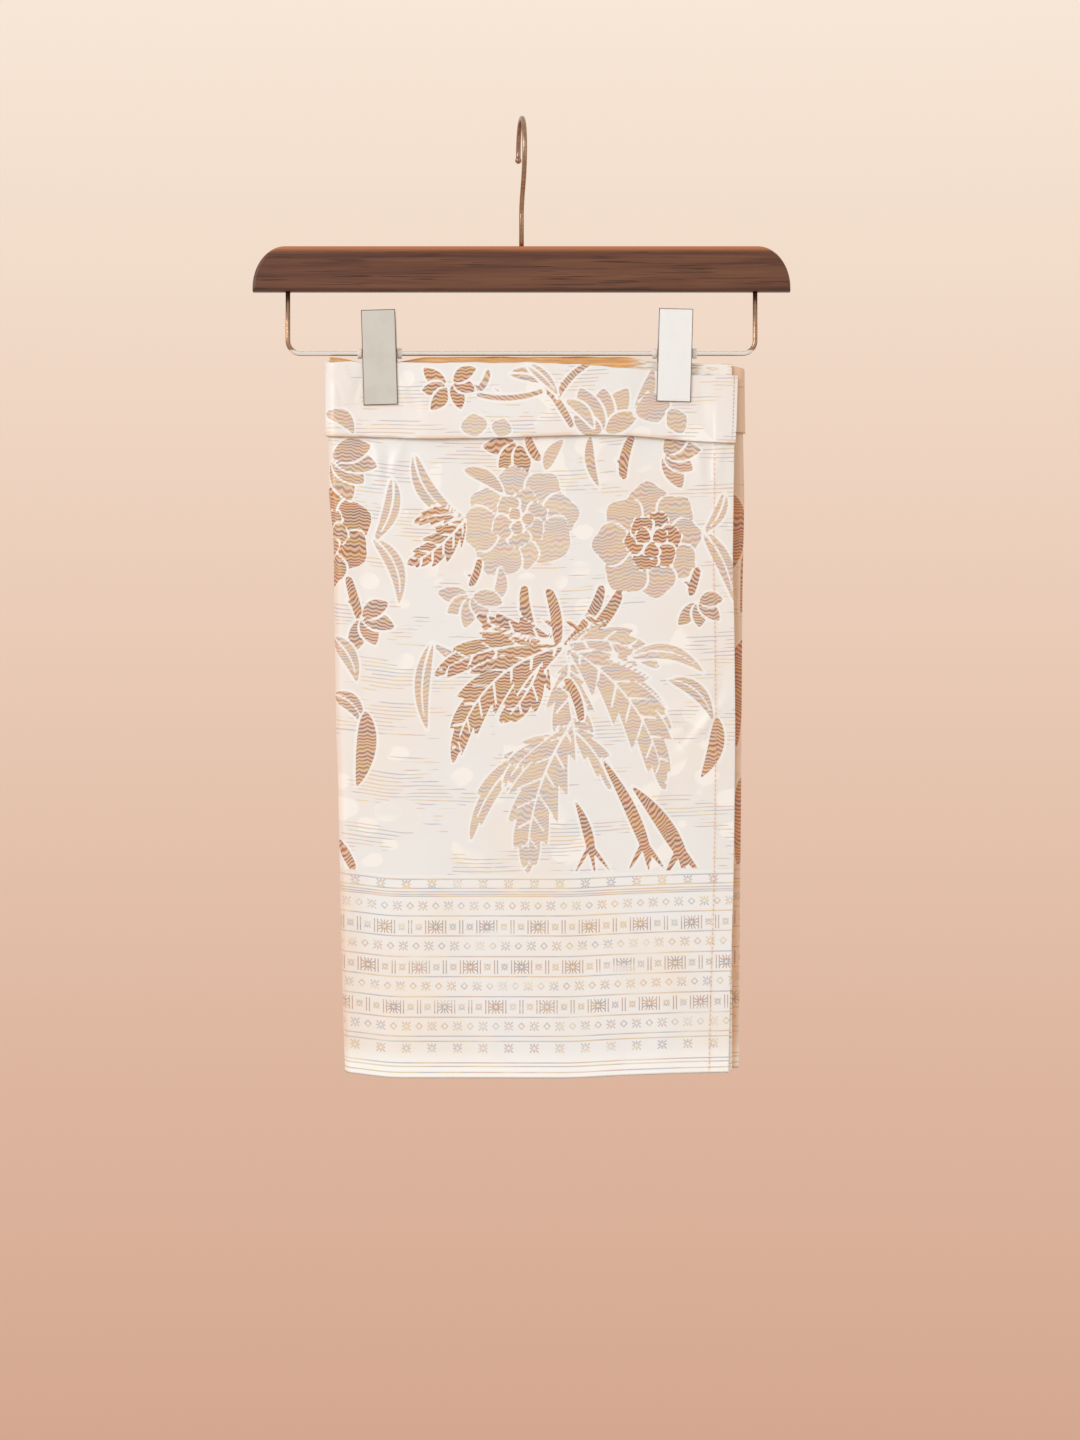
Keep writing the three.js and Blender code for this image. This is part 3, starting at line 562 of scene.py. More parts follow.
# A patch is some blades drawn as one, its tone from pale to deep, and the slant of its threads
Patch = namedtuple("Patch", "blades tone slant")


def polar(x, z, radius, angle):
    return x + radius * math.cos(angle), z + radius * math.sin(angle)


def petal(x, z, inner, outer, degrees, wide, tone, lobes=3):
    """One petal with a scalloped tip, pointing away from the flower's middle."""
    parts = []
    angle = math.radians(degrees)
    spread = wide / outer
    for lobe in range(lobes):
        side = (lobe - (lobes - 1) / 2) * 2 / max(lobes - 1, 1)
        reach = outer * (1 - 0.1 * side * side)
        base = polar(x, z, inner, angle + side * spread * 0.15)
        tip = polar(x, z, reach, angle + side * spread * 0.62)
        parts.append(Blade(*base, *tip, wide * (0.62 if lobes > 1 else 1.0), 0, 1.6, 0.5))
    return [Patch(parts, tone, 0.0)]


def flower(x, z, outer, middle, heart, tone, middle_tone, heart_tone):
    """A flower from its petals as degrees, reach and width, drawn from the outside inwards."""
    made = []
    for degrees, reach, wide in outer:
        made += petal(x, z, reach * 0.3, reach, degrees, wide, tone)
    for degrees, reach, wide in middle:
        made += petal(x, z, reach * 0.25, reach, degrees, wide, middle_tone)
    for degrees, reach, wide in heart:
        made += petal(x, z, 0.5, reach, degrees, wide, heart_tone, 1)
    return made


def bud(x, z, reach, degrees, count, tone, fan=120.0):
    """A fan of pointed sepals."""
    made = []
    for i in range(count):
        angle = math.radians(degrees + fan * (i / max(count - 1, 1) - 0.5))
        base = polar(x, z, 2.0, angle)
        tip = polar(x, z, reach * (1 - 0.12 * (i % 2)), angle)
        made.append(Patch([Blade(*base, *tip, reach * 0.24, 1.0, 0.9, 0.7)], tone, 0.0))
    return made


def leaf(x0, z0, x1, z1, wide, tone, bend=0.0, teeth=5, vein=12.0):
    """A pointed leaf with toothed edges, a bare midrib and bare side veins."""
    return [Patch([Blade(x0, z0, x1, z1, wide, bend, 0.85, 0.7, teeth, vein, True)], tone, 0.0)]


def stroke(x0, z0, x1, z1, wide, bend, tone, rib=False):
    """A plain pointed leaf, with or without a midrib."""
    return [Patch([Blade(x0, z0, x1, z1, wide, bend, 0.8, 0.7, rib=rib)], tone, 0.0)]


def stem(x0, z0, x1, z1, wide, bend, tone):
    """A stem, its threads slanted across it."""
    slant = math.copysign(STEM_SLANT, (x1 - x0) * (z1 - z0))
    body = Blade(x0, z0, x1, z1, wide, bend, 0.9, 0.17)
    thorn_x = lerp(x0, x1, 0.3)
    thorn_z = lerp(z0, z1, 0.3)
    thorn = Blade(thorn_x, thorn_z, thorn_x - wide * 2.2, thorn_z + wide * 1.4, wide * 0.35, 0, 0.7, 0.6)
    return [Patch([body, thorn], tone, slant)]


def roots(x0, z0, x1, z1, wide, bend):
    """A stem that forks at its foot."""
    parts = [Blade(x0, z0, lerp(x0, x1, 1.15), lerp(z0, z1, 1.15), wide, bend, 1.3, 0.5)]
    for aside, drop in ((-0.30, 14), (0.10, 15), (0.42, 14)):
        parts.append(Blade(x1 - aside * 6, z1 + 8, x1 + aside * 34, z1 - drop, wide * 0.42, 0, 0.6, 0.6))
    return [Patch(parts, 0.85, -STEM_SLANT)]


# Each row is a kind of motif and what it takes. Later motifs lie over earlier ones.
FRONT_MOTIFS = (
    (stroke, -72, -224, -36, -268, 6.2, -9, 0.4, True),
    (stroke, -86, -240, -99, -282, 5.4, 5, 0.35, True),
    (stroke, -99, -280, -82, -324, 5.4, 7, 0.35, True),
    (bud, -2, -216, 24, -128, 3, 0.85, 90),
    (stem, 12, -228, 4, -212, 3.0, 1, 0.8),
    (stroke, 16, -234, 28, -214, 4.2, 2, 0.35),
    (stem, 7, -340, 2, -312, 3.4, 2, 0.85),
    (stem, 24, -350, 18, -314, 3.6, -2, 0.85),
    (stem, 30, -352, 54, -312, 3.8, -4, 0.85),
    (stem, 44, -346, 66, -316, 4.0, -2, 0.85),
    (
        flower, -1, -268,
        ((100, 36, 15), (52, 38, 13), (155, 36, 13), (8, 40, 14), (-34, 38, 18), (-82, 33, 9), (-122, 42, 17),
         (-168, 41, 15)),
        ((75, 21, 8), (130, 19, 8), (20, 19, 8), (-40, 18, 9), (-100, 18, 9), (-160, 19, 8)),
        ((10, 9, 4), (130, 9, 4), (-110, 9, 4)),
        0.22, 0.32, 0.4,
    ),
    (stroke, -38, -234, -12, -250, 4.4, 3, 0.4),
    (stroke, -14, -300, -24, -326, 4.0, 5, 0.25),
    (
        flower, 87, -282,
        ((95, 40, 14), (50, 37, 13), (140, 37, 14), (8, 34, 12), (-38, 35, 13), (-85, 38, 14), (-130, 41, 16),
         (-176, 40, 14)),
        ((70, 20, 9), (10, 20, 9), (-50, 20, 9), (-110, 20, 9), (180, 18, 9), (125, 18, 8)),
        ((30, 11, 5), (150, 11, 5), (-90, 11, 5)),
        0.38, 0.95, 0.95,
    ),
    (stem, 68, -240, 74, -212, 3.2, 2, 0.85),
    (stroke, 46, -212, 52, -246, 3.2, -3, 0.5),
    (bud, 94, -224, 26, -10, 4, 0.6, 100),
    (
        flower, -133, -276,
        ((70, 32, 14), (20, 34, 15), (-35, 34, 15), (-85, 38, 14)),
        ((50, 17, 8), (-10, 17, 8), (-70, 17, 8)), (), 0.9, 0.8, 0.8,
    ),
    (bud, -128, -226, 32, -24, 4, 0.6, 80),
    (stem, -108, -334, -116, -306, 3.0, 0, 0.85),
    (bud, -108, -333, 24, -38, 4, 0.7, 130),
    (leaf, -38, -268, -76, -298, 12, 0.85, 3, 4, 9),
    (leaf, -44, -264, -72, -270, 6, 0.8, -2, 3, 0),
    (bud, -34, -318, 22, -100, 5, 0.35, 170),
    (stem, -34, -312, -28, -294, 2.4, -1, 0.9),
    (stroke, 8, -364, -60, -350, 5.6, 9, 0.4, True),
    (stroke, -60, -350, -63, -408, 5.0, -5, 0.4, True),
    (leaf, 20, -348, -30, -332, 11, 0.8, 3, 3, 17),
    (leaf, 8, -352, -58, -372, 13, 0.8, -6, 3, 18),
    (leaf, 14, -358, -14, -404, 14, 0.8, 4, 3, 16),
    (leaf, 27, -352, -46, -430, 16, 0.8, -17, 5, 15),
    (leaf, 32, -350, 92, -366, 13, 0.3, 8, 3, 17),
    (leaf, 34, -358, 100, -408, 13, 0.32, 7, 3, 17),
    (leaf, 32, -364, 42, -426, 16, 0.34, -4, 4, 15),
    (leaf, 32, -354, 96, -448, 18, 0.32, 14, 5, 15),
    (stem, 30, -374, 40, -402, 3.0, 2, 0.85),
    (leaf, 30, -414, -34, -482, 9, 0.3, -14, 3, 0),
    (leaf, 34, -408, 60, -448, 8, 0.3, 4, 3, 0),
    (leaf, 30, -412, -12, -446, 10, 0.28, -5, 3, 15),
    (leaf, 32, -406, 4, -504, 19, 0.28, -8, 5, 15),
    (roots, 54, -428, 82, -488, 4.0, 3),
    (roots, 36, -456, 46, -490, 3.2, 2),
    (roots, 74, -446, 106, -492, 5.2, 3),
    (stem, 113, -318, 118, -300, 2.8, 0, 0.85),
    (bud, 117, -322, 20, -62, 4, 0.65, 130),
    (stroke, 72, -360, 122, -370, 5.0, 9, 0.3, True),
    (stroke, 98, -374, 128, -402, 5.0, 7, 0.45, True),
    (stroke, 131, -400, 120, -440, 5.2, 4, 0.75),
    (stroke, 136, -250, 122, -276, 4.0, 3, 0.4, True),
    (stroke, 122, -276, 142, -322, 5.4, 4, 0.4, True),
    (stroke, -128, -345, -110, -376, 5.4, 4, 0.4, True),
    (stroke, -128, -384, -106, -404, 5.6, 5, 0.6, True),
    (stroke, -104, -396, -110, -446, 6.6, 3, 0.75),
    (stem, -124, -482, -112, -502, 3.0, 1, 0.85),
)

BAND_MOTIFS = (
    (stem, -32, -184, -22, -168, 2.2, -2, 0.6),
    (stem, -30, -184, 22, -178, 1.8, -5, 0.6),
    (stem, 16, -178, 34, -206, 2.4, 1, 0.65),
    (stem, 24, -186, 46, -163, 2.2, 3, 0.65),
    (stroke, -8, -170, 20, -178, 4.4, 3, 0.5, True),
    (stroke, 4, -164, 24, -184, 3.4, 2, 0.4, True),
    (bud, 55, -210, 34, 90, 3, 0.38, 56),
    (bud, 55, -210, 26, 90, 2, 0.42, 120),
    (stroke, 76, -198, 88, -166, 4.6, -2, 0.4),
    (petal, 92, -204, 2, 22, 110, 12, 0.36),
    (petal, 96, -206, 2, 16, 30, 9, 0.4),
    (stroke, 30, -188, 48, -206, 3.6, 3, 0.35),
    (bud, -49, -178, 20, -170, 3, 0.9, 90),
    (bud, -47, -176, 19, -20, 3, 0.9, 100),
    (petal, -30, -214, 2, 17, 100, 9, 0.25),
    (petal, -16, -214, 2, 14, 70, 7, 0.25),
    (stroke, -130, -196, -112, -210, 5.0, 4, 0.45),
)

# The rear is another run of the same cloth, so it has its own arrangement
REAR_MOTIFS = (
    (
        flower, 46, -300,
        ((80, 38, 15), (30, 37, 14), (130, 38, 14), (-20, 38, 15), (-70, 40, 16), (-125, 41, 16),
         (180, 38, 14)),
        ((60, 20, 9), (0, 20, 9), (-60, 20, 9), (-120, 20, 9), (120, 20, 9), (180, 20, 9)),
        ((30, 11, 5), (150, 11, 5), (-90, 11, 5)), 0.34, 0.9, 0.95,
    ),
    (
        flower, -52, -270,
        ((95, 36, 15), (45, 36, 14), (145, 38, 14), (-8, 38, 15), (-58, 38, 16), (-112, 40, 16),
         (-165, 38, 14)),
        ((70, 19, 8), (10, 19, 8), (-50, 19, 8), (-110, 19, 8), (130, 19, 8), (-170, 19, 8)),
        ((10, 9, 4), (130, 9, 4), (-110, 9, 4)), 0.24, 0.3, 0.4,
    ),
    (leaf, -4, -352, -64, -432, 19, 0.8, -12, 6, 13),
    (leaf, -6, -350, -56, -344, 12, 0.8, 4, 4, 11),
    (leaf, 4, -356, 62, -446, 19, 0.32, 12, 6, 13),
    (leaf, 0, -366, -2, -444, 16, 0.4, 3, 5, 12),
    (stem, 0, -352, 22, -314, 3.6, -3, 0.85),
    (stem, -6, -352, -24, -312, 3.6, 3, 0.85),
    (stem, 2, -440, 22, -500, 4.0, 3, 0.85),
    (stem, -8, -446, -20, -500, 3.6, -2, 0.85),
    (stroke, -100, -300, -86, -372, 6.5, -9, 0.4, True),
    (stroke, 92, -360, 78, -430, 6.5, 9, 0.7, True),
    (bud, -98, -440, 26, -80, 5, 0.6, 150),
    (bud, -146, -240, 26, -20, 4, 0.85, 110),
    (stroke, -150, -286, -152, -330, 6, 4, 0.85),
    (stroke, -148, -346, -154, -420, 8, -5, 0.85),
    (stroke, -160, -250, -158, -300, 6, 3, 0.75),
    (stroke, -150, -440, -152, -500, 7, 3, 0.8),
    (bud, 0, -224, 24, -100, 3, 0.85, 90),
    (leaf, -8, -318, 10, -284, 9, 0.8, 3, 3, 0),
    (stroke, 92, -238, 102, -286, 5.4, 5, 0.4, True),
    (stroke, -96, -232, -112, -272, 5.0, 4, 0.35, True),
    (bud, 70, -350, 24, -30, 4, 0.35, 130),
    (bud, -66, -336, 22, -150, 4, 0.35, 120),
    (stroke, 54, -458, 84, -486, 5.0, 6, 0.35, True),
    (stroke, -46, -452, -76, -484, 5.0, -6, 0.35, True),
    (stem, -98, -380, -104, -352, 3.0, 2, 0.85),
    (bud, -100, -384, 24, -90, 4, 0.7, 130),
    (stroke, 30, -226, 48, -248, 4.2, 3, 0.4),
)


def patches(table):
    """All the patches of a table of motifs."""
    made = []
    for kind, *values in table:
        made += kind(*values)
    return made


def patch_distance(blades, x, z):
    """Distance into the nearest of some blades, and below zero outside them."""
    found = np.full(x.shape, -np.inf)
    for b in blades:
        length = math.hypot(b.x1 - b.x0, b.z1 - b.z0)
        along_x = (b.x1 - b.x0) / length
        along_z = (b.z1 - b.z0) / length
        share = ((x - b.x0) * along_x + (z - b.z0) * along_z) / length
        inside = np.clip(share, 0, 1)
        middle = b.bend * 4 * inside * (1 - inside)
        off = (z - b.z0) * along_x - (x - b.x0) * along_z - middle
        aside = np.abs(off)
        width = b.wide * np.sin(PI * inside ** b.skew) ** b.sharp
        if b.teeth:
            forward = inside - TOOTH_SLANT * aside / length
            notch = (forward * b.teeth + 0.5 * (off > 0)) % 1.0
            width = width * (1 - TOOTH_DEPTH + TOOTH_DEPTH * notch) + TOOTH_POINT * notch * (width > 1)
        beyond = np.maximum(np.maximum(-share, share - 1), 0) * length
        distance = np.where(beyond > 0, -np.hypot(beyond, aside), width - aside)
        if b.rib:
            bare = aside - RIB_HALF * (1 - 0.5 * inside)
            distance = np.where(inside < RIB_END, np.minimum(distance, bare), distance)
        if b.vein:
            run = (inside * length - aside * VEIN_SLANT) / b.vein + 0.25 * (off > 0)
            bare = np.abs(run % 1.0 - 0.5) * b.vein / math.hypot(1, VEIN_SLANT) - VEIN_HALF
            distance = np.where(aside < width * VEIN_REACH, np.minimum(distance, bare), distance)
        found = np.maximum(found, distance)
    return found


def motif_field(table, x, z):
    """Distance into the nearest motif, its tone and the slant of its threads, for cloth coordinates."""
    flat_x = x.ravel()
    flat_z = z.ravel()
    field = np.full(flat_x.shape, OUTSIDE)
    tones = np.full(flat_x.shape, PLAIN_TONE)
    slants = np.zeros(flat_x.shape)
    for blades, tone, slant in patches(table):
        xs = [b.x0 for b in blades] + [b.x1 for b in blades]
        zs = [b.z0 for b in blades] + [b.z1 for b in blades]
        room = PATCH_ROOM + max(b.wide + abs(b.bend) for b in blades)
        near = (flat_x > min(xs) - room) & (flat_x < max(xs) + room)
        near &= (flat_z > min(zs) - room) & (flat_z < max(zs) + room)
        index = np.flatnonzero(near)
        found = patch_distance(blades, flat_x[index], flat_z[index])
        field[index] = np.maximum(np.minimum(field[index], -found - PATCH_GAP), found)
        over = found > -PATCH_GAP / 2
        tones[index] = np.where(over, tone, tones[index])
        slants[index] = np.where(over, slant, slants[index])
    return field.reshape(x.shape), tones.reshape(x.shape), slants.reshape(x.shape)


def linear(value):
    value = value / 255
    return value / 12.92 if value <= 0.04045 else ((value + 0.055) / 1.055) ** 2.4


def paint(red, green, blue):
    return (linear(red), linear(green), linear(blue), 1.0)


def fill_ramp(node, stops):
    """Sets a colour ramp from rows of a place and a colour."""
    elements = node.color_ramp.elements
    while len(elements) < len(stops):
        elements.new(1.0)
    for element, (place, *color) in zip(elements, stops):
        element.position = place
        element.color = paint(*color)


class Shader:
    """A principled material and short calls that add its nodes."""

    def __init__(self, name):
        self.material = bpy.data.materials.new(name)
        self.material.use_nodes = True
        self.tree = self.material.node_tree
        self.tree.nodes.clear()
        self.surface = self.node("BsdfPrincipled")
        self.tree.links.new(self.surface.outputs[0], self.node("OutputMaterial").inputs["Surface"])

    def put(self, socket, value):
        if isinstance(value, bpy.types.NodeSocket):
            self.tree.links.new(value, socket)
        else:
            socket.default_value = value

    def put_all(self, node, values):
        for name, value in values.items():
            self.put(node.inputs[name.replace("_", " ")], value)

    def node(self, kind, **values):
        """A new node with some of its inputs set or joined."""
        made = self.tree.nodes.new("ShaderNode" + kind)
        self.put_all(made, values)
        return made

    def surface_set(self, **values):
        self.put_all(self.surface, values)

    def attribute(self, name):
        node = self.node("Attribute")
        node.attribute_name = name
        return node.outputs["Fac"]

    def position(self):
        return self.node("TexCoord").outputs["Object"]

    def part(self, vector, axis):
        return self.node("SeparateXYZ", Vector=vector).outputs[axis]

    def normal(self, axis):
        return self.part(self.node("NewGeometry").outputs["Normal"], axis)

    def math(self, operation, *values):
        node = self.node("Math")
        node.operation = operation
        for socket, value in zip(node.inputs, values):
            self.put(socket, value)
        return node.outputs[0]

    def chain(self, operation, found, *others):
        for value in others:
            found = self.math(operation, found, value)
        return found

    def plus(self, *values):
        return self.chain("ADD", *values)

    def times(self, *values):
        return self.chain("MULTIPLY", *values)

    def most(self, *values):
        return self.chain("MAXIMUM", *values)

    def step(self, value, low, high):
        """A soft step from 0 at low to 1 at high."""
        node = self.node("MapRange", Value=value, From_Min=low, From_Max=high)
        node.interpolation_type = "SMOOTHSTEP"
        return node.outputs["Result"]

    def scaled(self, vector, stretch):
        return self.node("Mapping", Vector=vector, Scale=stretch).outputs[0]

    def noise(self, vector, stretch, detail, distortion=0.0):
        """Noise, with its own scale along each axis."""
        place = self.scaled(vector, stretch)
        node = self.node("TexNoise", Vector=place, Scale=1.0, Detail=detail, Distortion=distortion)
        return node.outputs["Fac"]

    def cells(self, vector, stretch):
        node = self.node("TexVoronoi", Vector=self.scaled(vector, stretch), Scale=1.0)
        node.feature = "SMOOTH_F1"
        return node.outputs["Distance"]

    def ramp(self, value, stops):
        node = self.node("ValToRGB", Fac=value)
        fill_ramp(node, stops)
        return node.outputs["Color"]

    def mix(self, factor, a, b, blend="MIX"):
        node = self.node("Mix")
        node.data_type = "RGBA"
        node.blend_type = blend
        for index, value in ((0, factor), (6, a), (7, b)):
            self.put(node.inputs[index], value)
        return node.outputs[2]

    def bump(self, height, distance):
        node = self.node("Bump", Height=height, Distance=distance, Strength=1.0)
        self.put(self.surface.inputs["Normal"], node.outputs[0])


def from_middle(s, u, v, centre, pitch, phase):
    """Distances across and down from the middle of the nearest figure in a row.

    The row is moved by whole pitches so that no place in it is negative.
    """
    shifted = s.plus(u, phase + pitch * PITCHES_ASIDE)
    across = s.math("ABSOLUTE", s.math("SUBTRACT", s.math("MODULO", shifted, pitch), pitch / 2))
    return across, s.math("ABSOLUTE", s.math("SUBTRACT", v, centre))


def star(s, across, down, reach, thick, rosette=False):
    """An open star with eight rays, or a rosette with twelve."""
    rays = s.most(s.math("LESS_THAN", across, thick), s.math("LESS_THAN", down, thick))
    if rosette:
        steep = s.math("COMPARE", s.times(across, STEEP), down, thick * 2)
        shallow = s.math("COMPARE", across, s.times(down, STEEP), thick * 2)
        rays = s.most(rays, steep, shallow)
    else:
        rays = s.most(rays, s.math("COMPARE", across, down, thick * 1.2))
    far = s.most(across, down)
    ring = s.times(s.math("LESS_THAN", far, reach), s.math("GREATER_THAN", far, reach * STAR_HOLE))
    return s.times(rays, ring)


def diamond(s, across, down, reach, thick):
    """A small open diamond."""
    return s.math("COMPARE", s.plus(across, down), reach, thick)


def bars(s, across, down):
    """Double bars between the boxes of a row."""
    near = s.math("COMPARE", across, BOX_PITCH / 2 - BAR_INSET, BAR_HALF)
    return s.times(near, s.math("LESS_THAN", down, BAR_TALL))


def border(s, u, v):
    """Strong and faint figures of the woven border."""
    strong = 0.0
    faint = 0.0
    for centre, phase in STRONG_ROWS:
        far_apart = from_middle(s, u, v, centre, BOX_PITCH * 3, phase)
        boxes = from_middle(s, u, v, centre, BOX_PITCH, phase)
        strong = s.most(strong, star(s, *far_apart, *ROSETTE, True), bars(s, *boxes))
        faint = s.most(faint, star(s, *boxes, *BOX_STAR))
    for centre, phase in FAINT_ROWS:
        stars = from_middle(s, u, v, centre, SMALL_PITCH, phase)
        between = from_middle(s, u, v, centre, SMALL_PITCH, phase + SMALL_PITCH / 2)
        faint = s.most(faint, star(s, *stars, *ROW_STAR), diamond(s, *between, *ROW_DIAMOND))
    for centre in SMALL_ROWS:
        stars = from_middle(s, u, v, centre, SMALL_PITCH, 0.0)
        faint = s.most(faint, star(s, *stars, *EDGE_STAR))
    for line in BORDER_LINES:
        faint = s.most(faint, s.math("COMPARE", v, line, LINE_HALF))
    return strong, faint


def brocade(name, border_on=True):
    """White satin with woven motifs of coloured metallic thread and a charted border."""
    s = Shader(name)
    u = s.attribute("cloth_u")
    v = s.attribute("cloth_v")
    depth = s.attribute("motif")
    tone = s.attribute("tone")
    slant = s.attribute("slant")
    shade = s.attribute("shade")
    flat = s.node("CombineXYZ", X=u, Y=v, Z=0.0).outputs[0]

    hue = s.noise(flat, (0.018, 0.12, 1), 2.0, 0.6)
    thread = s.ramp(hue, DEEP_HUES)
    pale_thread = s.ramp(hue, PALE_HUES)

    scallop = s.math("ABSOLUTE", s.math("SINE", s.times(u, SCALLOP_TURN)))
    drift = s.times(s.noise(flat, (0.045, 0.045, 1), 1.0), THREAD_DRIFT)
    run = s.plus(v, s.times(scallop, SCALLOP_RISE), drift, s.times(slant, u))
    spread = s.math("SUBTRACT", 1.0, s.times(s.math("ABSOLUTE", slant), SLANT_SPREAD))
    wave = s.math("SINE", s.times(run, spread, 2 * PI / THREAD_PITCH))
    line = s.step(wave, -0.3, 0.5)
    inside = s.step(depth, -0.15, 0.3)
    body = s.mix(tone, paint(232, 220, 210), paint(219, 180, 148))
    drawn = s.mix(s.step(tone, 0.2, 0.85), pale_thread, thread)
    figure = s.mix(s.times(line, s.plus(s.times(tone, 0.24), 0.66)), body, drawn)
    halo = s.times(s.step(depth, -2.4, -1.0), s.step(depth, 0.0, -0.4))

    clouds = s.cells(flat, (0.05, 0.062, 1))
    cloud_area = s.noise(flat, (0.012, 0.018, 1), 2.0)
    cloud = s.times(s.step(clouds, 0.36, 0.32), s.step(cloud_area, 0.48, 0.53))
    blush = s.noise(flat, (0.011, 0.011, 1), 2.0)
    plain = s.mix(s.step(blush, 0.4, 0.62), paint(236, 235, 234), paint(239, 232, 227))
    satin = s.mix(cloud, plain, paint(246, 242, 237))

    group = s.noise(flat, (0.016, 0.05, 1), 3.0, 0.4)
    fray = s.noise(flat, (0.035, 0.42, 1), 2.0)
    sway = s.times(s.noise(flat, (0.02, 0.05, 1), 2.0), WEFT_SWAY)
    weft = s.step(s.math("SINE", s.times(s.plus(v, sway), 2 * PI / WEFT_PITCH)), 0.45, 0.85)
    here = s.step(s.plus(group, s.times(fray, 0.35)), 0.715, 0.74)
    ground = s.mix(s.times(weft, here, 0.8), satin, pale_thread)
    ground = s.mix(s.times(halo, 0.75), ground, paint(244, 244, 243))

    color = s.mix(inside, ground, figure)
    raised = s.times(inside, s.plus(s.times(line, 0.5), 0.3))
    if border_on:
        below = s.math("LESS_THAN", v, BORDER_TOP)
        strong, faint = border(s, u, v)
        fade = s.noise(flat, (0.02, 0.09, 1), 2.0)
        rows = s.mix(s.step(blush, 0.35, 0.65), paint(240, 240, 240), paint(242, 235, 228))
        # Painted warm shade in the border where the cloth coordinate runs below -96: by the left fold on the
        # front, towards the nose on the rear
        rows = s.mix(s.times(s.step(u, -96.0, -120.0), 0.4), rows, paint(230, 206, 184))
        rows = s.mix(s.step(v, 22.0, 6.0), rows, paint(251, 251, 250))
        rows = s.mix(s.times(faint, s.step(fade, 0.15, 0.55), 0.85), rows, pale_thread)
        rows = s.mix(s.times(strong, s.step(fade, 0.2, 0.5), 0.62), rows, thread)
        color = s.mix(below, color, rows)
        high = s.times(s.most(strong, faint), 0.5)
        raised = s.plus(raised, s.times(below, s.math("SUBTRACT", high, raised)))
    # Painted shade: the shade attribute darkens the cloth towards a warm tan
    color = s.mix(shade, color, s.mix(0.8, color, paint(240, 193, 150), "MULTIPLY"))

    s.surface_set(
        Base_Color=color, Roughness=s.plus(s.times(cloud, 0.25), 0.34), Metallic=s.times(inside, line, 0.3),
        Specular_IOR_Level=0.5, Sheen_Weight=0.2, Sheen_Roughness=0.35, Sheen_Tint=paint(255, 246, 240),
    )
    weave = s.noise(flat, (1.4, 2.6, 1), 2.0)
    s.bump(s.plus(raised, s.times(weave, 0.35)), 0.16 * MM)
    return s.material


def reverse_cloth():
    """The reverse of the brocade, tan with floating threads and paler to the right."""
    s = Shader("brocade_reverse")
    place = s.position()
    threads = s.noise(place, (60, 400, 900), 3.0)
    worn = s.step(s.noise(place, (30, 30, 16), 2.0), 0.62, 0.8)
    tan = s.mix(worn, s.ramp(threads, REVERSE_HUES), paint(236, 206, 170))
    flecks = s.noise(place, (110, 500, 1100), 2.0)
    pale = s.mix(s.step(flecks, 0.56, 0.62), paint(242, 236, 228), paint(212, 172, 128))
    color = s.mix(s.step(s.part(place, "X"), *REVERSE_PALER), tan, pale)
    s.surface_set(Base_Color=color, Roughness=0.6, Sheen_Weight=0.2)
    s.bump(threads, 0.1 * MM)
    return s.material


def walnut():
    """Oiled walnut with long grain, a painted highlight over its rounded top and painted shade below."""
    s = Shader("walnut")
    place = s.position()
    bands = s.noise(place, (5, 60, 130), 4.0, 1.2)
    pores = s.noise(place, (22, 500, 900), 2.0)
    marks = s.mix(s.step(pores, 0.56, 0.66), s.ramp(bands, WOOD_HUES), paint(66, 36, 24))
    # Painted highlight where the bar faces up or nears its top, and painted shade along its underside
    height = s.part(place, "Z")
    up = s.most(s.step(s.normal("Z"), 0.35, 0.9), s.step(height, *BAR_PAINTED_HIGHLIGHT_HEIGHTS))
    lit = s.mix(s.times(up, 0.9), marks, paint(190, 117, 73))
    color = s.mix(s.times(s.step(height, *BAR_PAINTED_SHADE_HEIGHTS), 0.6), lit, paint(58, 32, 20))
    rough = s.plus(s.times(pores, 0.2), 0.42)
    s.surface_set(Base_Color=color, Roughness=rough, Specular_IOR_Level=0.4)
    s.bump(s.plus(bands, pores), 0.12 * MM)
    return s.material


def metal(name, color, darker, roughness, stretch, edge=None):
    """Plated metal with fine drawing marks, small smudges and, on a plate, painted shade along its edges."""
    s = Shader(name)
    place = s.position()
    marks = s.noise(place, stretch, 3.0)
    smudge = s.noise(place, (70, 70, 70), 3.0)
    base = s.mix(s.step(smudge, 0.4, 0.7), paint(*color), paint(*darker))
    if edge:
        # Painted shade: faces turned away from the front, along a plate's edges, take the darker edge colour
        facing = s.math("ABSOLUTE", s.normal("Y"))
        base = s.mix(s.step(facing, 0.97, 0.80), base, paint(*edge))
    s.surface_set(Base_Color=base, Metallic=1.0, Roughness=s.plus(s.times(marks, 0.12), roughness))
    s.bump(marks, 0.01 * MM)
    return s.material


def wire_metal():
    """Plated wire, painted brighter along its level stretch, with painted bronze reflection on its uprights
    and painted shade on its undersides.
    """
    s = Shader("bright_wire")
    place = s.position()
    marks = s.noise(place, (40, 40, 900), 3.0)
    # Painted reflection: bronze-brown uprights and a near-white level stretch; below, painted shade on the
    # undersides
    upright = s.mix(s.step(marks, 0.4, 0.7), paint(174, 138, 112), paint(152, 118, 94))
    level = s.step(s.part(place, "Z"), WIRE_LEVEL + 0.0012, WIRE_LEVEL)
    base = s.mix(level, upright, paint(252, 247, 241))
    under = s.step(s.times(s.normal("Z"), -1.0), 0.6, 0.95)
    color = s.mix(under, base, paint(120, 86, 66))
    s.surface_set(Base_Color=color, Metallic=1.0, Roughness=s.plus(s.times(marks, 0.12), 0.2))
    s.bump(marks, 0.01 * MM)
    return s.material


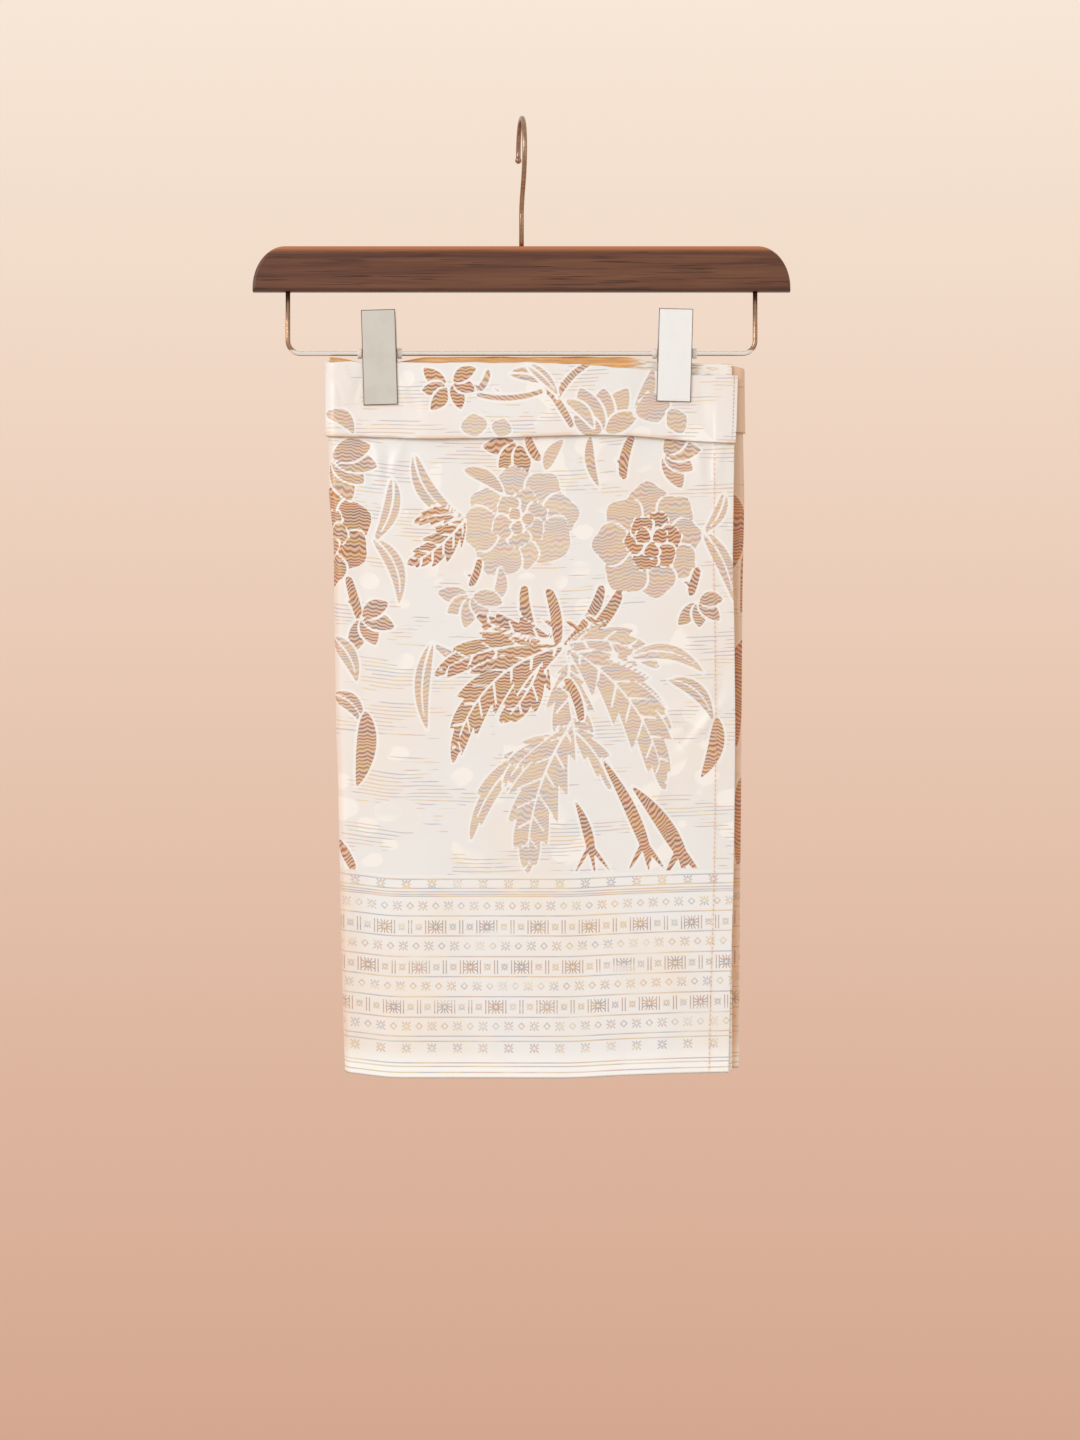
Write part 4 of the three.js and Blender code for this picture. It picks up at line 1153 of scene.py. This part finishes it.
def sewing_thread():
    """Twisted sewing thread, a little darker than the cloth."""
    s = Shader("sewing_thread")
    twist = s.noise(s.position(), (900, 900, 2600), 1.0)
    s.surface_set(Base_Color=s.mix(twist, paint(226, 204, 188), paint(196, 168, 148)), Roughness=0.5)
    s.bump(twist, 0.05 * MM)
    return s.material


def plastic():
    """White moulded plastic, faintly uneven."""
    s = Shader("white_plastic")
    spots = s.noise(s.position(), (240, 240, 240), 3.0)
    base = s.mix(spots, paint(238, 233, 226), paint(250, 247, 242))
    s.surface_set(Base_Color=base, Roughness=0.42, Subsurface_Weight=0.1, Subsurface_Scale=0.001)
    s.bump(spots, 0.03 * MM)
    return s.material


def floor_paint():
    s = Shader("pale_floor")
    spots = s.noise(s.position(), (3, 3, 3), 3.0)
    s.surface_set(Base_Color=s.mix(spots, paint(232, 214, 198), paint(240, 224, 210)), Roughness=0.8)
    return s.material


def mesh_object(name, points, faces, material, smooth_shading=True):
    mesh = bpy.data.meshes.new(name)
    mesh.from_pydata((np.array(points, float) * MM).tolist(), [], faces)
    mesh.materials.append(material)
    mesh.polygons.foreach_set("use_smooth", np.full(len(mesh.polygons), smooth_shading))
    mesh.update()
    made = bpy.data.objects.new(name, mesh)
    bpy.context.scene.collection.objects.link(made)
    return made


def grid_faces(rows, columns, start=0, flip=False, closed=False):
    r = np.arange(rows - 1)[:, None]
    c = np.arange(columns if closed else columns - 1)[None, :]
    following = (c + 1) % columns
    faces = np.stack([
        r * columns + c, r * columns + following,
        (r + 1) * columns + following, (r + 1) * columns + c,
    ], axis=-1).reshape(-1, 4) + start
    return (faces[:, ::-1] if flip else faces).tolist()


def sheet_object(name, grid, v, motifs, shade, material):
    """A stretch of cloth with what its material reads at each point."""
    points = np.stack([grid.x, grid.y, grid.z], axis=-1).reshape(-1, 3)
    made = mesh_object(name, points, grid_faces(*grid.x.shape, flip=True), material)
    field, tones, slants = motif_field(motifs, grid.u, grid.z)
    values = {
        "cloth_u": grid.u, "cloth_v": v, "motif": np.where(v < BORDER_TOP, OUTSIDE, field),
        "tone": tones, "slant": slants, "shade": shade,
    }
    for key, value in values.items():
        attribute = made.data.attributes.new(key, "FLOAT", "POINT")
        attribute.data.foreach_set("value", value.astype(np.float32).ravel())
    return made


def lip_shade(u):
    """Painted shade on the lip that turns in at the rear's fold."""
    return smooth(-u, *LIP_SHADE)


def tube(name, places, radius, material, sides=20):
    """A round bar along a line of places, with flat ends."""
    line = [Vector(place) for place in places]
    across = Vector((1, 0, 0))
    points = []
    for i, point in enumerate(line):
        along = (line[min(i + 1, len(line) - 1)] - line[max(i - 1, 0)]).normalized()
        across = (across - along * across.dot(along)).normalized()
        other = along.cross(across)
        for turn in 2 * PI * np.arange(sides) / sides:
            points.append(point + (across * math.cos(turn) + other * math.sin(turn)) * radius)
    faces = grid_faces(len(line), sides, closed=True)
    faces.append(list(range(sides))[::-1])
    faces.append(list(range(len(points) - sides, len(points))))
    made = mesh_object(name, points, faces, material)
    for end in made.data.polygons[-2:]:
        end.use_smooth = False
    return made


def ball(name, centre, radius, material):
    bpy.ops.mesh.primitive_uv_sphere_add(
        segments=24, ring_count=16, radius=radius * MM, location=Vector(centre) * MM,
    )
    made = bpy.context.active_object
    made.name = name
    made.data.materials.append(material)
    bpy.ops.object.shade_smooth()
    return made


def hook_points():
    """The hook's line: a stem, a bend out of it, the arc that bears on the rail, and its tip."""
    radius = HOOK["radius"]
    centre = HOOK["centre"]
    top = HOOK["stem_top"]
    ends = np.array([
        (0, top), (0, top + HOOK["stem_pull"]), (-radius, centre - HOOK["arc_pull"]), (-radius, centre),
    ])
    t = np.arange(BEND_STEPS)[:, None] / BEND_STEPS
    bend = ends[0] * (1 - t) ** 3 + ends[1] * 3 * t * (1 - t) ** 2
    bend = bend + ends[2] * 3 * t * t * (1 - t) + ends[3] * t ** 3
    turn = PI * np.arange(ARC_STEPS + 1) / ARC_STEPS
    arc = np.stack([-radius * np.cos(turn), centre + radius * np.sin(turn)], axis=-1)
    yaw = math.radians(HOOK["yaw"])
    line = np.vstack([(0, HOOK["stem_foot"]), bend, arc, (radius, HOOK["tip"])])
    return [(-y * math.sin(yaw), y * math.cos(yaw), z) for y, z in line]


def frame_points():
    """The wire frame's line, down one side, along the foot and up the other."""
    x = FRAME["x"]
    bend = FRAME["bend"]
    points = [(-x, 0, FRAME["in_bar"])]
    turns = PI / 2 * np.arange(CORNER_STEPS + 1) / CORNER_STEPS
    for side, order in ((-1, turns), (1, turns[::-1])):
        for turn in order:
            height = FRAME["low"] + bend - bend * math.sin(turn)
            points.append((side * (x - bend + bend * math.cos(turn)), 0, height))
    points.append((x, 0, FRAME["in_bar"]))
    return points


def plies():
    """The hidden plies, each a thin slab with rounded edges, nested in the outer folds."""
    columns, rows = PLY_COUNTS
    size = rows * columns
    share = 0.5 - 0.5 * np.cos(PI * np.linspace(0, 1, columns))
    up = 0.5 - 0.5 * np.cos(PI * np.linspace(0, 1, rows))[:, None]
    rim_line = np.concatenate([
        np.arange(columns), np.arange(1, rows) * columns + columns - 1,
        (rows - 1) * columns + np.arange(columns - 2, -1, -1), np.arange(rows - 2, 0, -1) * columns,
    ])
    following = np.roll(rim_line, -1)
    rim_faces = np.stack([rim_line, rim_line + size, following + size, following], -1)
    points = []
    faces = []
    for i, (top_at, foot_at, end) in enumerate(PLIES):
        z = np.full((rows, columns), START_Z)
        for _ in range(2):
            low_x = left_fold(z) - LEFT_REACH + CLEAR + PLY_GAP
            x = lerp(low_x, end, share)
            top = read(INNER_TOP if i < FRONT_PLIES else REAR_TOP, x) + top_at
            wavy = 0.35 * np.sin(x / 9 + 2 * i) + 0.25 * np.sin(x / 4.3 + i)
            foot = read(FRONT_FOOT, x) + foot_at + wavy
            z = lerp(foot, top + wavy * 0.6, up)
        shoulder = read(BAND_TOP, x) - STEP - HALF - BACK_LEAF
        hem_from = front_edge(z) - HEM_WIDTH - STEP
        by_band = STEP * smooth(z, shoulder - 2, shoulder)
        by_hem = STEP * smooth(x, hem_from - 4, hem_from - 1)
        reach = half_depth(x, z) - CLEAR
        near = np.maximum(by_hem, by_band) - reach
        far = reach - by_band
        pitch = (far - near) / len(PLIES)
        bow = np.clip((left_fold(z) - x) / (LEFT_REACH - CLEAR), 0, 0.999)
        middle = lerp((near + far) / 2, near + pitch * (i + 0.5), np.sqrt(1 - bow * bow))
        side = np.minimum(x - low_x, end - x)
        rim = np.minimum(side, np.minimum(z - foot, top - z + 0.6))
        thick = pitch * PLY_FILL * np.sqrt(1 - (1 - np.clip(rim / PLY_ROUND, 0, 1)) ** 2)
        start = 2 * size * i
        for y in (middle - thick, middle + thick):
            points.append(np.stack([x, y, z], -1).reshape(-1, 3))
        faces += grid_faces(rows, columns, start, flip=True)
        faces += grid_faces(rows, columns, start + size)
        faces += (rim_faces + start).tolist()
    return np.vstack(points), faces


def stitches(name, edge_at, row, material):
    """Short round-backed threads in a row up the front, beside an edge."""
    points = []
    faces = []
    for z in np.arange(row["foot"], row["top"], row["pitch"]):
        x = edge_at(z) - row["inset"]
        y = -front_depth(x, z) - row["proud"]
        faces += grid_faces(len(STITCH_SECTIONS), 3, start=len(points))
        for share, wide, high in STITCH_SECTIONS:
            half = STITCH_HALF_WIDTH * wide
            back = y - STITCH_RISE * high
            level = z + row["half_length"] * share
            points.append((x - half, back + STITCH_ROOT, level))
            points.append((x, back, level))
            points.append((x + half, back + STITCH_ROOT, level))
    return mesh_object(name, points, faces, material)


def area_light(name, place, size, watts):
    data = bpy.data.lights.new(name, "AREA")
    data.shape = "RECTANGLE"
    data.size, data.size_y = size
    data.energy = watts
    data.color = LAMP_COLOR
    made = bpy.data.objects.new(name, data)
    bpy.context.scene.collection.objects.link(made)
    made.location = place
    made.rotation_euler = (Vector(AIM) - made.location).to_track_quat("-Z", "Y").to_euler()


def studio():
    """A graded pale room, with a warmer backdrop where the camera sees it."""
    world = bpy.data.worlds.new("studio")
    world.use_nodes = True
    tree = world.node_tree
    direction = tree.nodes.new("ShaderNodeTexCoord")
    split = tree.nodes.new("ShaderNodeSeparateXYZ")
    tree.links.new(direction.outputs["Generated"], split.inputs[0])
    room = tree.nodes["Background"]
    room.inputs["Strength"].default_value = ROOM_STRENGTH
    backdrop = tree.nodes.new("ShaderNodeBackground")
    for shader, stops, reach in ((backdrop, BACKDROP, BACKDROP_REACH), (room, ROOM, ROOM_REACH)):
        height = tree.nodes.new("ShaderNodeMapRange")
        height.inputs["From Min"].default_value = -reach
        height.inputs["From Max"].default_value = reach
        tree.links.new(split.outputs["Z"], height.inputs["Value"])
        sky = tree.nodes.new("ShaderNodeValToRGB")
        fill_ramp(sky, stops)
        tree.links.new(height.outputs[0], sky.inputs["Fac"])
        tree.links.new(sky.outputs["Color"], shader.inputs["Color"])
    seen = tree.nodes.new("ShaderNodeLightPath")
    either = tree.nodes.new("ShaderNodeMixShader")
    tree.links.new(seen.outputs["Is Camera Ray"], either.inputs[0])
    tree.links.new(room.outputs[0], either.inputs[1])
    tree.links.new(backdrop.outputs[0], either.inputs[2])
    tree.links.new(either.outputs[0], tree.nodes["World Output"].inputs["Surface"])
    return world


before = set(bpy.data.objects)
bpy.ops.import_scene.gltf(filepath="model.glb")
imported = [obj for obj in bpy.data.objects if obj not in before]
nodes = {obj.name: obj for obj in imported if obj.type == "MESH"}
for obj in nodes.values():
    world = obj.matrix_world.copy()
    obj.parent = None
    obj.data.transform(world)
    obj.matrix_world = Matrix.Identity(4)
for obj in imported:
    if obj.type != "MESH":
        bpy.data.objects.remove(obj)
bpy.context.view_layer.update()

woven = brocade("brocade_front")
woven_band = brocade("brocade_band", border_on=False)
reverse = reverse_cloth()
chrome = wire_metal()
# Both pairs of plates carry painted shade on their edges; the right ones are also painted lighter than the
# left, standing for how the light falls on them
nickel = metal("clip_plate", (234, 230, 221), (229, 224, 215), 0.26, (700, 700, 30), (132, 104, 86))
nickel_painted_lighter = metal(
    "clip_plate_right_painted_lighter", (255, 255, 255), (253, 253, 251), 0.40, (700, 700, 30), (150, 122, 104),
)
steel = metal("spring_steel", (190, 184, 178), (160, 152, 146), 0.28, (600, 600, 600))
white = plastic()
sewing = sewing_thread()
wood = walnut()

# Front stretch
columns, rows = FRONT_COUNTS
front_grid = cloth_sheet(
    front_line((HEM_WIDTH, STEP), columns), rows, front_foot, front_cloth_top, front_edge, CLOTH_FACE,
)
# Painted shade: a shadow line down the hem's inner edge, and a warm painted reflection by the left fold
from_hem = front_grid.x - front_edge(front_grid.z) + HEM_WIDTH
from_fold = front_grid.x - left_fold(front_grid.z) + LEFT_REACH
hem_shade = HEM_SHADE * np.exp(-(from_hem / HEM_SHADE_WIDTH) ** 2)
fold_shade = FOLD_SHADE * (1 - smooth(from_fold, *FOLD_SHADE_WIDTH))
front = sheet_object(
    "brocade_front", front_grid, front_grid.z - front_foot(front_grid.x, front_grid.around),
    FRONT_MOTIFS, np.maximum(hem_shade, fold_shade), woven,
)
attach(front, "root")
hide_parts("front_stretch")

# Rear stretch
columns, rows = REAR_COUNTS
rear_grid = cloth_sheet(rear_line(columns), rows, rear_foot, rear_cloth_top, None, CLOTH_FACE)
rear = sheet_object(
    "brocade_rear", rear_grid, rear_grid.z - REAR_FOOT, REAR_MOTIFS, lip_shade(rear_grid.u), woven,
)
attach(rear, "root")
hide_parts("rear_stretch")

# Waistbands
columns, rows = BAND_COUNTS
band_grid = cloth_sheet(
    front_line(BAND_END_TURN, columns), rows, front_band_foot, front_top, band_end, STEP + BAND_FACE,
    over=True, lifted=True,
)
# Painted shade in uneven patches along the waistband's foot, where its turned edge also shows some of the
# cloth's tan reverse
above = band_grid.z - front_band_foot(band_grid.x, band_grid.around)
uneven = np.sin(band_grid.x / 11) + 0.4 * np.sin(band_grid.x / 3.7)
band_shade = BAND_SHADE * smooth(above, 3.4, 0.2) * smooth(uneven, -0.9, 0.6)
band = sheet_object(
    "waistband_front_cloth", band_grid, BAND_V + band_grid.z, BAND_MOTIFS, band_shade, woven_band,
)
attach(band, "root")
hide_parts("waistband_front")

columns, rows = REAR_BAND_COUNTS
rear_band_grid = cloth_sheet(
    rear_line(columns), rows, rear_band_foot, rear_top, None, STEP + BAND_FACE, over=True,
)
rear_band = sheet_object(
    "waistband_rear_cloth", rear_band_grid, BAND_V + rear_band_grid.z, BAND_MOTIFS,
    lip_shade(rear_band_grid.u), woven_band,
)
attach(rear_band, "root")
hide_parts("waistband_rear")

# Hidden plies
inner = mesh_object("folded_plies", *plies(), reverse)
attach(inner, "root")
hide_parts("inner_layers")

# Sewing
hem_stitch = stitches("hem_stitches", front_edge, HEM_STITCHES, sewing)
end_stitch = stitches("band_end_stitches", band_end, END_STITCHES, sewing)
for sewn in (hem_stitch, end_stitch):
    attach(sewn, "root")

# Wire
hook = tube("hook_wire", hook_points(), WIRE_RADIUS, chrome)
hook_tip = ball("hook_tip", hook_points()[-1], TIP_RADIUS, chrome)
wire = tube("frame_wire", frame_points(), WIRE_RADIUS, chrome)
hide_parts("hanger_hook")
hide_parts("hanger_wire")
for piece in (hook, hook_tip, wire):
    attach(piece, "root")

# Finishes of the frame's own pieces
finishes = {
    "hanger_bar": wood,
    "clip_front_left": nickel,
    "clip_front_right": nickel_painted_lighter,
    "clip_rear_left": nickel,
    "clip_rear_right": nickel_painted_lighter,
    "clip_sleeve_left": white,
    "clip_sleeve_right": white,
    "clip_spring_left": steel,
    "clip_spring_right": steel,
}
for name, material in finishes.items():
    nodes[name].data.materials.clear()
    nodes[name].data.materials.append(material)

# Floor, far below the hanging cloth
corners = [(x, y, FLOOR_HEIGHT) for x, y in FLOOR_CORNERS]
floor = mesh_object("floor", corners, [[0, 1, 2, 3]], floor_paint(), smooth_shading=False)

# Light
scene = bpy.context.scene
scene.world = studio()
area_light("key", *KEY_LIGHT)
area_light("fill", *FILL_LIGHT)

# Camera, level and straight ahead
camera_data = bpy.data.cameras.new("camera")
camera_data.lens = LENS
camera_data.sensor_width = SENSOR
camera_data.clip_end = CLIP_END
camera = bpy.data.objects.new("camera", camera_data)
scene.collection.objects.link(camera)
camera.location = (VIEW_X, -VIEW_HEIGHT / 2 * LENS / (SENSOR / 2), VIEW_Z)
camera.rotation_euler = (PI / 2, 0, 0)
scene.camera = camera
scene.view_settings.view_transform = "Standard"
